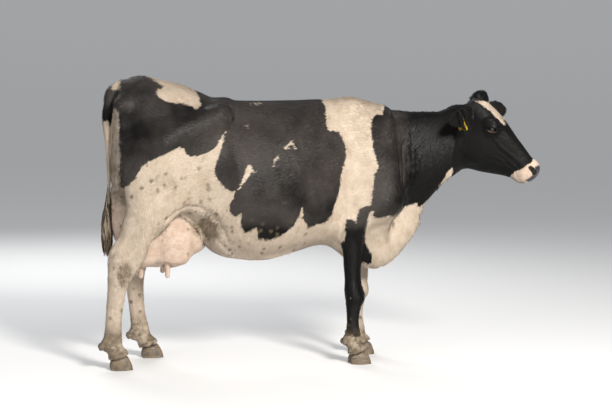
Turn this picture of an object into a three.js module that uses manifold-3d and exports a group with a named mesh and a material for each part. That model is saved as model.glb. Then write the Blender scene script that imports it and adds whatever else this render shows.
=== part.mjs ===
// A standing black-and-white dairy cow, life size, as a faceted model parted into its named body parts.
//
// The flesh is one smooth field of overlapping masses: negative inside, positive outside, in millimetres.
// Each body part is a mesh of that field's surface, parted from its neighbours by thin cuts.
// Axes while modelling: +X runs from the pin bones to the head, +Y to the cow's left, +Z up, floor at 0.

import * as THREE from "three";
import { mergeVertices } from "three/addons/utils/BufferGeometryUtils.js";
import Module from "manifold-3d";

const wasm = await Module();
wasm.setup();

// ---- Driving dimensions, mm ----

const GAP = 0.4; // left between neighbouring parts
const LOOSE = 1.6; // how far a hidden seat may lie off its neighbour, so that it needs fewer faces
const RIGHT = -1; // the side of the cow, as the sign of Y
const LEFT = 1;

// Where the cross-sections of the trunk stand along X, with their height at the back line (top) and at
// the belly (bottom), the level of their greatest width and half that width.
const TRUNK = {
  seat: { at: 40, top: 1490, bottom: 900, widest: 1225, half: 134 },
  tailHead: { at: 120, top: 1514, bottom: 900, widest: 1215, half: 196 },
  thurl: { at: 240, top: 1494, bottom: 835, widest: 1180, half: 244 },
  sacrum: { at: 340, top: 1472, bottom: 768, widest: 1165, half: 264 },
  rumpFront: { at: 430, top: 1438, bottom: 680, widest: 1140, half: 280 },
  hooks: { at: 520, top: 1407, bottom: 588, widest: 1060, half: 296 },
  loin: { at: 640, top: 1398, bottom: 552, widest: 960, half: 340 },
  barrel: { at: 800, top: 1402, bottom: 546, widest: 905, half: 362 },
  ribs: { at: 950, top: 1408, bottom: 586, widest: 905, half: 338 },
  girth: { at: 1100, top: 1416, bottom: 624, widest: 925, half: 272 },
  heart: { at: 1220, top: 1418, bottom: 606, widest: 945, half: 226 },
  withers: { at: 1320, top: 1404, bottom: 598, widest: 950, half: 212 },
  chest: { at: 1450, top: 1376, bottom: 640, widest: 985, half: 196 },
};

const HOOK = { x: 512, y: 226, z: 1302, radius: 48 }; // hip bone corner
const LOIN = { x: 560, y: 70, z: 1352, radius: 48 }; // where the hip bone leaves the spine
const PIN = { x: 30, y: 122, z: 1352, radius: 50 }; // seat bone corner
const SEAT = { x: 130, y: 60, z: 1420, radius: 52 }; // where the seat bone leaves the tail head
const THURL = { x: 262, y: 200, z: 1190, radius: 60 }; // hip joint
const SHOULDER_POINT = { x: 1448, y: 160, z: 885, radius: 74 };
const BLADE_TOP = { x: 1250, y: 78, z: 1352, radius: 46 };
const ELBOW = { x: 1205, y: 168, z: 762, radius: 52 };

// Cross-sections down a hind leg that stands under the hip: height, centre, half depth fore and aft,
// half width across.
const HIND_LEG = {
  hip: { z: 1130, x: 236, y: 158, depth: 224, width: 94 },
  thigh: { z: 950, x: 208, y: 176, depth: 198, width: 92 },
  stifle: { z: 815, x: 163, y: 182, depth: 131, width: 80 },
  gaskin: { z: 719, x: 110, y: 180, depth: 92, width: 60 },
  tendon: { z: 640, x: 80, y: 176, depth: 87, width: 44 },
  hockTip: { z: 585, x: 52, y: 172, depth: 92, width: 42 },
  hock: { z: 540, x: 34, y: 170, depth: 82, width: 44 },
  hockFoot: { z: 470, x: 16, y: 169, depth: 62, width: 40 },
  cannonTop: { z: 390, x: 3, y: 168, depth: 49, width: 32 },
  cannon: { z: 250, x: -9, y: 168, depth: 43, width: 30 },
  fetlock: { z: 150, x: -11, y: 168, depth: 49, width: 41 },
  pastern: { z: 105, x: 0, y: 168, depth: 44, width: 44 },
  coronet: { z: 62, x: 20, y: 168, depth: 52, width: 53 },
  sole: { z: 20, x: 30, y: 168, depth: 54, width: 55 },
};

const FORE_LEG = {
  elbow: { z: 740, x: 1238, y: 164, depth: 74, width: 58 },
  forearm: { z: 640, x: 1251, y: 157, depth: 58, width: 50 },
  forearmFoot: { z: 480, x: 1259, y: 150, depth: 46, width: 43 },
  kneeTop: { z: 405, x: 1267, y: 146, depth: 52, width: 50 },
  knee: { z: 360, x: 1277, y: 144, depth: 55, width: 52 },
  kneeFoot: { z: 318, x: 1271, y: 143, depth: 45, width: 44 },
  cannon: { z: 235, x: 1269, y: 142, depth: 34, width: 32 },
  fetlock: { z: 150, x: 1274, y: 141, depth: 42, width: 41 },
  pastern: { z: 105, x: 1284, y: 141, depth: 41, width: 46 },
  coronet: { z: 64, x: 1300, y: 141, depth: 53, width: 56 },
  sole: { z: 20, x: 1310, y: 141, depth: 56, width: 58 },
};

// How far a leg's foot stands ahead of the square stance, and between which heights the leg swings to it.
const STEP = {
  hindLeft: { ahead: 200, from: 860, to: 0, ease: 0.75, sway: 0 },
  foreLeft: { ahead: 101, from: 800, to: 620, ease: 1, sway: 34 },
};
const SWAY = { at: 540, over: 120 }; // height and spread of a forearm's lean ahead of its knee

// A claw's inner side is flatter than its outer one, and it narrows to the toe; the upper ring of its wall
// is smaller and further back than its sole.
const CLAW = {
  length: 126, width: 66, inner: 0.62, toeTaper: 0.28, wallHeight: 7, toeHeight: 78, heelHeight: 44,
  coronet: 0.8, lean: 12, spread: 24, toeIn: 0.05, ahead: 4,
};
// The two small claws behind the fetlock, and the pad that carries them.
const DEWCLAW = { behind: { hind: 60, fore: 50 }, apart: 26, z: 118, radius: 19, length: 48, tilt: 0.6 };
const DEWCLAW_PAD = { behind: { hind: 32, fore: 26 }, z: 126, half: [34, 42, 34] };

// The neck's middle line with its half depth and half width; it turns to the right on its way.
const NECK = {
  base: { x: 1330, y: 0, z: 1108, depth: 282, width: 172 },
  root: { x: 1480, y: -8, z: 1120, depth: 252, width: 142 },
  middle: { x: 1620, y: -32, z: 1140, depth: 232, width: 106 },
  front: { x: 1732, y: -60, z: 1178, depth: 202, width: 92 },
  throat: { x: 1818, y: -84, z: 1224, depth: 172, width: 86 },
  nape: { x: 1886, y: -92, z: 1280, depth: 142, width: 80 },
};

// The brisket between the forelegs and the thin dewlap up the front of the neck.
const BRISKET = {
  sternum: { x: 1300, y: 0, z: 640, depth: 95, width: 100 },
  keel: { x: 1415, y: 0, z: 626, depth: 132, width: 92 },
  point: { x: 1522, y: -2, z: 706, depth: 114, width: 66 },
  dewlap: { x: 1586, y: -8, z: 784, depth: 100, width: 48 },
  fold: { x: 1622, y: -22, z: 882, depth: 84, width: 40 },
  throat: { x: 1700, y: -46, z: 992, depth: 70, width: 42 },
};

// The head stands in its own frame: the poll is its origin, "forward" runs down the face to the nose.
const HEAD = { poll: [1960, -125, 1481], turn: 36, droop: 50 };

// Cross-sections down the face: distance from the poll, forehead (top) and jaw (bottom) above the
// poll-to-nose line, level of the greatest width, half that width.
const FACE = {
  crown: { at: 40, top: -14, bottom: -215, widest: -95, half: 74 },
  forehead: { at: 120, top: 4, bottom: -285, widest: -95, half: 94 },
  brow: { at: 200, top: 10, bottom: -322, widest: -90, half: 98 },
  cheek: { at: 270, top: 8, bottom: -321, widest: -120, half: 86 },
  bridge: { at: 335, top: 4, bottom: -280, widest: -120, half: 74 },
  nose: { at: 400, top: 3, bottom: -222, widest: -105, half: 61 },
  bar: { at: 455, top: 0, bottom: -174, widest: -85, half: 57 },
  lips: { at: 505, top: -6, bottom: -146, widest: -70, half: 57 },
};
const MUZZLE = { at: 503, below: 62, half: { along: 56, across: 72, deep: 70 } };
const CHIN = { at: 482, below: 110, half: { along: 46, across: 45, deep: 29 } };
const POLL_KNOB = { at: 37, below: 28, half: { along: 44, across: 56, deep: 48 } };
const ORBIT = { at: 208, below: 54, out: 84, half: { along: 46, across: 30, deep: 38 } };
const MASSETER = { at: 232, below: 196, out: 62, half: { along: 92, across: 40, deep: 86 } };
const EYE = { at: 219, below: 58, out: 95, radius: 20 };

const EAR = {
  at: 76, below: 82, out: 78, length: 205, width: 118, thick: 15, cup: 0.0042, bend: 14,
  rootNarrow: 0.42, tipNarrow: 0.3,
};
// Directions of each ear in the head's frame: forward, left, up.
const EAR_AIM = {
  right: { axis: [0.04, -0.9, -0.44], edge: [0.86, 0.1, -0.5] },
  left: { axis: [0.24, 0.84, 0.49], edge: [0.93, -0.1, -0.36] },
};

const TAIL = {
  root: { x: 90, y: 0, z: 1452, depth: 34, width: 40 },
  head: { x: 18, y: 0, z: 1452, depth: 32, width: 36 },
  bend: { x: -28, y: 0, z: 1408, depth: 31, width: 32 },
  upper: { x: -40, y: 0, z: 1320, depth: 26, width: 27 },
  dock: { x: -42, y: 0, z: 1230, depth: 20, width: 22 },
  dockMiddle: { x: -36, y: 0, z: 1130, depth: 16, width: 18 },
  dockEnd: { x: -29, y: 0, z: 990, depth: 12, width: 15 },
  switchTop: { x: -31, y: 0, z: 900, depth: 13, width: 18 },
  switchFull: { x: -38, y: 0, z: 740, depth: 23, width: 30 },
  switchLow: { x: -34, y: 0, z: 630, depth: 23, width: 28 },
  switchTip: { x: -36, y: 0, z: 566, depth: 9, width: 11 },
};

const UDDER = {
  bag: { x: 210, y: 0, z: 715, half: [208, 150, 190] },
  rear: { x: 84, y: 0, z: 815, half: [95, 92, 190] },
  fore: { x: 372, y: 0, z: 700, half: [110, 120, 100] },
  foreQuarter: { x: 292, y: 80, z: 650, half: [100, 84, 116] },
  rearQuarter: { x: 150, y: 74, z: 658, half: [96, 82, 124] },
};
const TEATS = {
  fore: { x: 272, y: 104, top: 545, length: 84, radius: 14.5 },
  rear: { x: 137, y: 66, top: 537, length: 84, radius: 14.5 },
};
// A teat's outline from its tip: share of its radius, height above the tip.
const TEAT_OUTLINE = [[0, 0], [0.55, 2], [0.88, 9], [1, 24], [1.04, 84]];

const TAG = {
  width: 46, height: 56, neck: 26, corner: 9, thick: 2.4, along: 118, across: 10, clear: 5, stud: 9, pin: 3,
  square: 31, // height of the plate's full width
  backLonger: 8, // by how much the back plate hangs lower
  studProud: 3,
};

const COLOURS = {
  black: 0x1d1a19,
  white: 0xd9cdbb,
  pink: 0xc99a86,
  horn: 0x6b5a48,
  eye: 0x120d0b,
  tag: 0xe0b21c,
};

// ---- Field of the flesh ----

const clamp01 = (t) => Math.min(1, Math.max(0, t));
const dot = (a, b) => a[0] * b[0] + a[1] * b[1] + a[2] * b[2];
const subtract = (a, b) => [a[0] - b[0], a[1] - b[1], a[2] - b[2]];
const cross = (a, b) => [
  a[1] * b[2] - a[2] * b[1],
  a[2] * b[0] - a[0] * b[2],
  a[0] * b[1] - a[1] * b[0],
];
const unit = (a) => {
  const length = Math.hypot(...a);
  return a.map((c) => c / length);
};

// Distance from p to a round section's surface along the ray from its centre, where k is 1 on the surface.
const radial = (length, k, inside) => (k < 1e-4 ? -inside : length * (1 - 1 / k));

// The value of every named number of the stations at a place along them, by a smooth curve through all.
function smoothStations(stations, key) {
  const names = Object.keys(stations[0]).filter((n) => typeof stations[0][n] === "number");
  const slope = (i, name) => {
    const a = stations[Math.max(0, i - 1)];
    const b = stations[Math.min(stations.length - 1, i + 1)];
    return (b[name] - a[name]) / (b[key] - a[key]);
  };
  return (at) => {
    let i = 0;
    while (i < stations.length - 2 && at > stations[i + 1][key]) i += 1;
    const [a, b] = [stations[i], stations[i + 1]];
    const span = b[key] - a[key];
    const t = clamp01((at - a[key]) / span);
    const rise = t * t * (3 - 2 * t);
    const out = {};
    for (const n of names)
      out[n] =
        a[n] + (b[n] - a[n]) * rise +
        t * (1 - t) * ((1 - t) * slope(i, n) - t * slope(i + 1, n)) * span;
    return out;
  };
}

// A body with upright cross-sections along the first axis of a frame: the upper and the lower half of
// each section are half ellipses of their own height on the same widest level.
function loft(frame, sections, { capStart, capEnd, fullness = 2 }) {
  const stations = Object.values(sections);
  const sectionAt = smoothStations(stations, "at");
  const first = stations[0].at;
  const last = stations[stations.length - 1].at;
  return (p) => {
    const [x, y, z] = frame.toLocal(p);
    const at = Math.min(last, Math.max(first, x));
    const s = sectionAt(at);
    const rise = z > s.widest ? s.top - s.widest : s.widest - s.bottom;
    const beyond = x - at;
    const cap = beyond < 0 ? capStart : capEnd;
    const k = (Math.abs(y / s.half) ** fullness + Math.abs((z - s.widest) / rise) ** fullness +
      Math.abs(beyond / cap) ** fullness) ** (1 / fullness);
    return radial(Math.hypot(beyond, y, z - s.widest), k, Math.min(s.half, rise));
  };
}

// A limb along a smooth line of stations, with an elliptic section square to it. "side" is the
// direction that a station's width is measured in.
const STEPS_PER_STATION = 4;
function limb(stations, side) {
  const list = stations.map((s, i) => ({ ...s, i }));
  const at = smoothStations(list, "i");
  const count = (list.length - 1) * STEPS_PER_STATION;
  const nodes = Array.from({ length: count + 1 }, (_, n) => at(n / STEPS_PER_STATION));
  const spans = nodes.slice(1).map((b, n) => {
    const a = nodes[n];
    const from = [a.x, a.y, a.z];
    const along = subtract([b.x, b.y, b.z], from);
    const axis = unit(along);
    const out = unit(cross(axis, side));
    return { a, b, from, along, axis, out, across: cross(out, axis), squared: dot(along, along) };
  });
  return (p) => {
    let best = Infinity;
    let found;
    for (const span of spans) {
      const q = subtract(p, span.from);
      const t = clamp01(dot(q, span.along) / span.squared);
      const r = q.map((c, i) => c - span.along[i] * t);
      const length = Math.hypot(...r);
      if (length < best) [best, found] = [length, { span, t, r }];
    }
    const { span, t, r } = found;
    const depth = span.a.depth + (span.b.depth - span.a.depth) * t;
    const width = span.a.width + (span.b.width - span.a.width) * t;
    const cap = Math.min(depth, width);
    const k = Math.hypot(dot(r, span.out) / depth, dot(r, span.across) / width, dot(r, span.axis) / cap);
    return radial(best, k, cap);
  };
}

// An ellipsoid on the axes of a frame.
function ball(frame, centre, half) {
  return (p) => {
    const q = subtract(frame.toLocal(p), centre);
    return radial(Math.hypot(...q), Math.hypot(...q.map((c, i) => c / half[i])), Math.min(...half));
  };
}

// A straight bone from one knob to another.
function bone(from, to) {
  const along = subtract(to.centre, from.centre);
  const squared = dot(along, along);
  return (p) => {
    const q = subtract(p, from.centre);
    const t = clamp01(dot(q, along) / squared);
    return Math.hypot(...q.map((c, i) => c - along[i] * t)) - from.radius - (to.radius - from.radius) * t;
  };
}

// Each mass melts into those before it over the given width.
function melt(masses) {
  return (p) =>
    masses.reduce((soFar, { field, over }) => {
      const d = field(p);
      const h = Math.max(over - Math.abs(soFar - d), 0) / over;
      return Math.min(soFar, d) - (h * h * over) / 4;
    }, 1e6);
}

// ---- Frames ----

function frameAt(origin, forward, left, up) {
  const axes = [forward, left, up];
  return {
    toLocal: (p) => {
      const q = subtract(p, origin);
      return axes.map((a) => dot(q, a));
    },
    toWorld: (q) => origin.map((o, i) => o + axes[0][i] * q[0] + axes[1][i] * q[1] + axes[2][i] * q[2]),
    turn: (v) => axes[0].map((_, i) => axes[0][i] * v[0] + axes[1][i] * v[1] + axes[2][i] * v[2]),
  };
}

const WORLD = frameAt([0, 0, 0], [1, 0, 0], [0, 1, 0], [0, 0, 1]);

function headFrame() {
  const turn = THREE.MathUtils.degToRad(HEAD.turn);
  const droop = THREE.MathUtils.degToRad(HEAD.droop);
  const left = [Math.sin(turn), Math.cos(turn), 0];
  const level = [Math.cos(turn), -Math.sin(turn), 0];
  const forward = [level[0] * Math.cos(droop), level[1] * Math.cos(droop), -Math.sin(droop)];
  return frameAt(HEAD.poll, forward, left, cross(forward, left));
}
const HEAD_FRAME = headFrame();

// ---- The cow's masses ----

const padOf = ({ stations, hind }) => {
  const fetlock = stations.find((s) => s.z === HIND_LEG.fetlock.z);
  const behind = DEWCLAW_PAD.behind[hind ? "hind" : "fore"];
  return ball(WORLD, [fetlock.x - behind, fetlock.y, DEWCLAW_PAD.z], DEWCLAW_PAD.half);
};

const knob = ({ x, y, z, radius }, side) => ({ centre: [x, y * side, z], radius });

function trunkMasses(side) {
  const hook = knob(HOOK, side);
  const pin = knob(PIN, side);
  const loin = knob(LOIN, side);
  const seat = knob(SEAT, side);
  const thurl = knob(THURL, side);
  const blade = knob(BLADE_TOP, side);
  const shoulder = knob(SHOULDER_POINT, side);
  const elbow = knob(ELBOW, side);
  return [
    { field: bone(loin, hook), over: 55 },
    { field: bone(seat, pin), over: 60 },
    { field: bone(hook, thurl), over: 70 },
    { field: bone(blade, shoulder), over: 110 },
    { field: bone(shoulder, elbow), over: 70 },
  ];
}

// How far ahead a stepping leg is at a height.
function stepAt({ ahead, from, to, ease, sway }, z) {
  const share = clamp01((from - z) / (from - to)) ** ease;
  return ahead * share + sway * Math.exp(-(((z - SWAY.at) / SWAY.over) ** 2));
}

// The stations of a leg on one side, with its foot set ahead.
function legStations(leg, side, step) {
  return Object.values(leg).map((s) => ({
    ...s,
    x: s.x + (step ? stepAt(step, s.z) : 0),
    y: s.y * side,
  }));
}

const LEGS = {
  leg_hind_right: { stations: legStations(HIND_LEG, RIGHT), side: RIGHT, hind: true },
  leg_hind_left: { stations: legStations(HIND_LEG, LEFT, STEP.hindLeft), side: LEFT, hind: true },
  leg_front_right: { stations: legStations(FORE_LEG, RIGHT), side: RIGHT, hind: false },
  leg_front_left: { stations: legStations(FORE_LEG, LEFT, STEP.foreLeft), side: LEFT, hind: false },
};
for (const leg of Object.values(LEGS)) leg.field = limb(leg.stations, [0, 1, 0]);

const headBall = ({ at, below, half }, out = 0) =>
  ball(HEAD_FRAME, [at, out, -below], [half.along, half.across, half.deep]);

function headMasses() {
  const sides = [RIGHT, LEFT];
  return [
    { field: loft(HEAD_FRAME, FACE, { capStart: 60, capEnd: 44, fullness: 2.15 }), over: 45 },
    { field: headBall(MUZZLE), over: 26 },
    { field: headBall(CHIN), over: 20 },
    { field: headBall(POLL_KNOB), over: 30 },
    ...sides.map((side) => ({ field: headBall(ORBIT, ORBIT.out * side), over: 22 })),
    ...sides.map((side) => ({ field: headBall(MASSETER, MASSETER.out * side), over: 40 })),
  ];
}

const bodyField = melt([
  { field: loft(WORLD, TRUNK, { capStart: 57, capEnd: 60, fullness: 2.1 }), over: 1 },
  ...trunkMasses(RIGHT),
  ...trunkMasses(LEFT),
  { field: limb(Object.values(NECK), [0.2, 0.98, 0]), over: 90 },
  { field: limb(Object.values(BRISKET), [0.1, 0.99, 0]), over: 60 },
  ...headMasses(),
  ...Object.values(LEGS).map(({ field, hind }) => ({ field, over: hind ? 70 : 60 })),
  ...Object.values(LEGS).map((leg) => ({ field: padOf(leg), over: 20 })),
]);

const ballOf = ({ x, y, z, half }, side = 1) => ball(WORLD, [x, y * side, z], half);
const udderField = melt([
  { field: ballOf(UDDER.bag), over: 1 },
  { field: ballOf(UDDER.rear), over: 50 },
  { field: ballOf(UDDER.fore), over: 60 },
  ...[RIGHT, LEFT].flatMap((side) => [
    { field: ballOf(UDDER.foreQuarter, side), over: 22 },
    { field: ballOf(UDDER.rearQuarter, side), over: 22 },
  ]),
]);

// ---- Surface of a field ----

// Grid lines from one value to another, no further apart than the cell.
function lines(from, to, cell) {
  const n = Math.max(1, Math.ceil((to - from) / cell));
  return Array.from({ length: n + 1 }, (_, i) => from + ((to - from) * i) / n);
}

const CORNERS = [0, 1, 2, 3, 4, 5, 6, 7].map((c) => [c & 1, (c >> 1) & 1, (c >> 2) & 1]);
const EDGES = [
  [0, 1], [2, 3], [4, 5], [6, 7],
  [0, 2], [1, 3], [4, 6], [5, 7],
  [0, 4], [1, 5], [2, 6], [3, 7],
];

// Moves a point along the field's gradient until it lies on the surface.
const NUDGE = 0.5;
function ontoSurface(field, start, reach) {
  let p = start;
  for (let turn = 0; turn < 6; turn += 1) {
    const value = field(p);
    const gradient = [0, 1, 2].map((i) => {
      const q = [...p];
      q[i] += NUDGE;
      return (field(q) - value) / NUDGE;
    });
    const squared = Math.max(dot(gradient, gradient), 0.05);
    p = p.map((c, i) => c - (gradient[i] * value) / squared);
  }
  const off = subtract(p, start);
  const length = Math.hypot(...off);
  return length > reach ? start.map((c, i) => c + (off[i] * reach) / length) : p;
}

// A closed mesh of the surface inside a grid: one vertex in each cell that the surface crosses, one
// quad across each grid edge that it crosses. The grid's outermost samples count as outside.
function surfaceMesh(field, grid, frame = WORLD) {
  const size = grid.map((g) => g.length);
  const sampleAt = (i, j, k) => (k * size[1] + j) * size[0] + i;
  const local = (i, j, k) => [grid[0][i], grid[1][j], grid[2][k]];
  const inner = (i, j, k) => [i, j, k].every((n, axis) => n > 0 && n < size[axis] - 1);
  const samples = new Float64Array(size[0] * size[1] * size[2]).fill(1);
  for (let k = 0; k < size[2]; k += 1)
    for (let j = 0; j < size[1]; j += 1)
      for (let i = 0; i < size[0]; i += 1)
        if (inner(i, j, k)) samples[sampleAt(i, j, k)] = field(frame.toWorld(local(i, j, k)));

  const positions = [];
  const vertexOf = new Map();
  for (let k = 0; k < size[2] - 1; k += 1)
    for (let j = 0; j < size[1] - 1; j += 1)
      for (let i = 0; i < size[0] - 1; i += 1) {
        const corner = CORNERS.map(([a, b, c]) => [i + a, j + b, k + c]);
        const value = corner.map((c) => samples[sampleAt(...c)]);
        const sum = [0, 0, 0];
        let crossings = 0;
        for (const [a, b] of EDGES) {
          if (value[a] < 0 === value[b] < 0) continue;
          const t = value[a] / (value[a] - value[b]);
          const [from, to] = [local(...corner[a]), local(...corner[b])];
          for (let n = 0; n < 3; n += 1) sum[n] += from[n] + (to[n] - from[n]) * t;
          crossings += 1;
        }
        if (!crossings) continue;
        const reach = Math.min(...[0, 1, 2].map((n) => grid[n][corner[7][n]] - grid[n][corner[0][n]]));
        const middle = frame.toWorld(sum.map((c) => c / crossings));
        const onBorder = corner.some((c) => !inner(...c));
        vertexOf.set(sampleAt(i, j, k), positions.length / 3);
        positions.push(...(onBorder ? middle : ontoSurface(field, middle, reach)));
      }

  const faces = [];
  const quad = (a, b, c, d, flip) => {
    const loop = flip ? [a, d, c, b] : [a, b, c, d];
    const [p, q, r, s] = loop.map((v) => positions.slice(3 * v, 3 * v + 3));
    const even = Math.hypot(...subtract(p, r)) <= Math.hypot(...subtract(q, s));
    const order = even ? [0, 1, 2, 0, 2, 3] : [1, 2, 3, 1, 3, 0];
    faces.push(...order.map((n) => loop[n]));
  };
  for (let k = 1; k < size[2] - 1; k += 1)
    for (let j = 1; j < size[1] - 1; j += 1)
      for (let i = 1; i < size[0] - 1; i += 1) {
        const here = samples[sampleAt(i, j, k)] < 0;
        const cell = (a, b, c) => vertexOf.get(sampleAt(i - a, j - b, k - c));
        for (const [step, loop] of [
          [[1, 0, 0], [cell(0, 1, 1), cell(0, 0, 1), cell(0, 0, 0), cell(0, 1, 0)]],
          [[0, 1, 0], [cell(1, 0, 1), cell(1, 0, 0), cell(0, 0, 0), cell(0, 0, 1)]],
          [[0, 0, 1], [cell(1, 1, 0), cell(0, 1, 0), cell(0, 0, 0), cell(1, 0, 0)]],
        ]) {
          const there = samples[sampleAt(i + step[0], j + step[1], k + step[2])] < 0;
          if (here !== there) quad(...loop, !here);
        }
        for (const [step, loop] of [
          [[1, 0, 0], [cell(1, 1, 1), cell(1, 0, 1), cell(1, 0, 0), cell(1, 1, 0)]],
          [[0, 1, 0], [cell(1, 1, 1), cell(1, 1, 0), cell(0, 1, 0), cell(0, 1, 1)]],
          [[0, 0, 1], [cell(1, 1, 1), cell(0, 1, 1), cell(0, 0, 1), cell(1, 0, 1)]],
        ]) {
          if ([i, j, k].some((n, axis) => step[axis] && n > 1)) continue;
          const before = samples[sampleAt(i - step[0], j - step[1], k - step[2])] < 0;
          if (here !== before) quad(...loop, here);
        }
      }
  return { positions, faces };
}

// ---- Solids ----

function solidOfMesh({ positions, faces }) {
  return new wasm.Manifold(new wasm.Mesh({
    numProp: 3,
    vertProperties: new Float32Array(positions),
    triVerts: new Uint32Array(faces),
  }));
}

function solidOfGeometry(geometry) {
  const bare = geometry.clone();
  bare.deleteAttribute("normal");
  bare.deleteAttribute("uv");
  const merged = mergeVertices(bare, 1e-3);
  return solidOfMesh({ positions: merged.attributes.position.array, faces: merged.index.array });
}

// The mesh with every vertex pushed out along the mean direction of its faces.
function grown({ positions, faces }, by) {
  const geometry = new THREE.BufferGeometry();
  geometry.setAttribute("position", new THREE.Float32BufferAttribute(positions, 3));
  geometry.setIndex([...faces]);
  geometry.computeVertexNormals();
  const normals = geometry.attributes.normal.array;
  return { positions: [...positions].map((c, i) => c + normals[i] * by), faces };
}

// A body's room for its neighbours: never nearer to it than the gap.
const seatOf = (mesh) => solidOfMesh(grown(mesh, GAP + LOOSE)).simplify(LOOSE);

const FAR = 6000; // larger than the cow
// Everything on the positive side of a plane.
function beyondPlane(point, normal) {
  const box = new THREE.BoxGeometry(FAR, FAR, FAR).translate(0, 0, FAR / 2);
  const turn = new THREE.Quaternion().setFromUnitVectors(
    new THREE.Vector3(0, 0, 1), new THREE.Vector3(...unit(normal)));
  return solidOfGeometry(box.applyQuaternion(turn).translate(...point));
}

// The room behind all of the planes, each moved outwards.
function roomBehind(planes, outwards) {
  const all = solidOfGeometry(new THREE.BoxGeometry(FAR, FAR, FAR));
  return planes.reduce((room, { point, normal }) => {
    const n = unit(normal);
    return room.subtract(beyondPlane(point.map((c, i) => c + n[i] * outwards), normal));
  }, all);
}

// A cut may leave slivers: the part is the largest body.
function largest(solid) {
  const bodies = solid.decompose();
  return bodies.reduce((a, b) => (a.volume() > b.volume() ? a : b));
}

// ---- Cuts between the parts ----

const plane = (point, normal) => ({ point, normal });
const flipped = ({ point, normal }) => plane(point, normal.map((c) => -c));

const NECK_CUT = plane([1330, 0, 1400], [0.933, 0, 0.36]);
const HEAD_CUT = plane(
  HEAD_FRAME.toWorld([-8, 0, -74]), HEAD_FRAME.turn([0.736, 0, 0.677]));

const foreLegPlanes = (side, foot) => [
  plane([1250, 0, 742], [0, 0, 1]),
  plane([0, 88 * side, 0], [0, -side, 0]),
  plane([1152, 0, 0], [-1, 0, 0]),
  plane([foot.x + 75, 0, 0], [1, 0, 0]),
];
const hindLegPlanes = (side) => [
  plane([455, 0, 600], [0.841, -1.12 * side, 1]),
  plane([428, 0, 0], [1, 0, 0]),
];
const midline = (side) => plane([0, GAP * side, 0], [0, -side, 0]);
const CORONET = { hind: plane([10, 0, 66], [0.3, 0, -1]), fore: plane([1300, 0, 66], [0.3, 0, -1]) };

const footOf = ({ stations }) => stations[stations.length - 1];
const legPlanes = (leg) => (leg.hind ? hindLegPlanes(leg.side) : foreLegPlanes(leg.side, footOf(leg)));

// ---- Parts ----

const root = new THREE.Group();

function addPart(name, solid, colour, roughness = 0.8) {
  const mesh = solid.getMesh();
  const geometry = new THREE.BufferGeometry();
  const positions = new Float32Array(mesh.numVert * 3);
  for (let i = 0; i < mesh.numVert; i += 1)
    positions.set(mesh.vertProperties.subarray(i * mesh.numProp, i * mesh.numProp + 3), i * 3);
  geometry.setAttribute("position", new THREE.BufferAttribute(positions, 3));
  geometry.setIndex(new THREE.BufferAttribute(mesh.triVerts, 1));
  geometry.computeVertexNormals();
  const material = new THREE.MeshStandardMaterial({ color: colour, roughness, metalness: 0 });
  const part = new THREE.Mesh(geometry, material);
  part.name = name;
  root.add(part);
}

const trunkMesh = surfaceMesh(bodyField, [
  [...lines(-150, 390, 90), ...lines(440, 580, 52), ...lines(660, 1690, 116)], lines(-480, 480, 80),
  [...lines(440, 1180, 90), ...lines(1240, 1580, 57)],
]);
const neckMesh = surfaceMesh(bodyField, [
  lines(1180, 2060, 76), lines(-330, 270, 60), lines(480, 1530, 72),
]);
const headMesh = surfaceMesh(bodyField, [
  lines(-150, 600, 39), lines(-170, 170, 39), lines(-480, 80, 41),
], HEAD_FRAME);

// Grid lines close together where a leg is thin, and wide in the thigh and the shoulder.
const LEG_GRID = {
  hind: {
    x: (foot) => [...lines(-130, foot - 150, 70), ...lines(foot - 118, foot + 70, 34),
      ...lines(foot + 130, 590, 80)],
    y: [...lines(-30, 85, 58), ...lines(118, 214, 34), ...lines(262, 350, 45)],
    z: [...lines(20, 620, 58), ...lines(690, 1420, 80)],
  },
  fore: {
    x: (foot) => [...lines(1050, 1140, 45), ...lines(1170, foot + 80, 31), ...lines(foot + 125, 1600, 50)],
    y: [...lines(-30, 70, 50), ...lines(98, 188, 31), ...lines(215, 295, 40)],
    z: lines(20, 806, 60),
  },
};

function legMesh(leg) {
  const grid = LEG_GRID[leg.hind ? "hind" : "fore"];
  const y = leg.side === LEFT ? grid.y : grid.y.map((c) => -c).reverse();
  return surfaceMesh(bodyField, [grid.x(footOf(leg).x), y, grid.z]);
}

for (const leg of Object.values(LEGS)) leg.mesh = legMesh(leg);

// The coronet plane of a leg stands over its own foot.
function coronetPlane({ stations, hind }) {
  const base = hind ? CORONET.hind : CORONET.fore;
  const foot = stations[stations.length - 2];
  return plane([foot.x, 0, base.point[2]], base.normal);
}

function addFlesh() {
  let trunk = solidOfMesh(trunkMesh).intersect(roomBehind([NECK_CUT], -GAP / 2));
  for (const [name, leg] of Object.entries(LEGS)) {
    trunk = trunk.subtract(roomBehind(legPlanes(leg), GAP));
    const room = roomBehind([...legPlanes(leg), midline(leg.side), coronetPlane(leg)], -GAP);
    addPart(name, largest(solidOfMesh(leg.mesh).intersect(room)), COLOURS.white);
  }
  addPart("trunk", largest(trunk), COLOURS.black);

  const neck = solidOfMesh(neckMesh).intersect(roomBehind([flipped(NECK_CUT), HEAD_CUT], -GAP / 2));
  addPart("neck", largest(neck), COLOURS.black);
}

// An ear's own frame on the head: along it, across its blade, and square to the blade. A point of its
// cupped middle surface is given by its distances along and across and off the surface.
function earFrame(name, side) {
  const aim = EAR_AIM[name];
  const axis = unit(aim.axis);
  const edge = unit(subtract(aim.edge, axis.map((c) => c * dot(axis, aim.edge))));
  const face = cross(axis, edge);
  const root = [EAR.at, EAR.out * side, -EAR.below];
  return (along, across, off) => {
    const lift = (EAR.bend * (along / EAR.length) ** 2 - EAR.cup * across * across) * side + off;
    const local = root.map((c, n) => c + axis[n] * along + edge[n] * across + face[n] * lift);
    return HEAD_FRAME.toWorld(local);
  };
}

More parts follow.
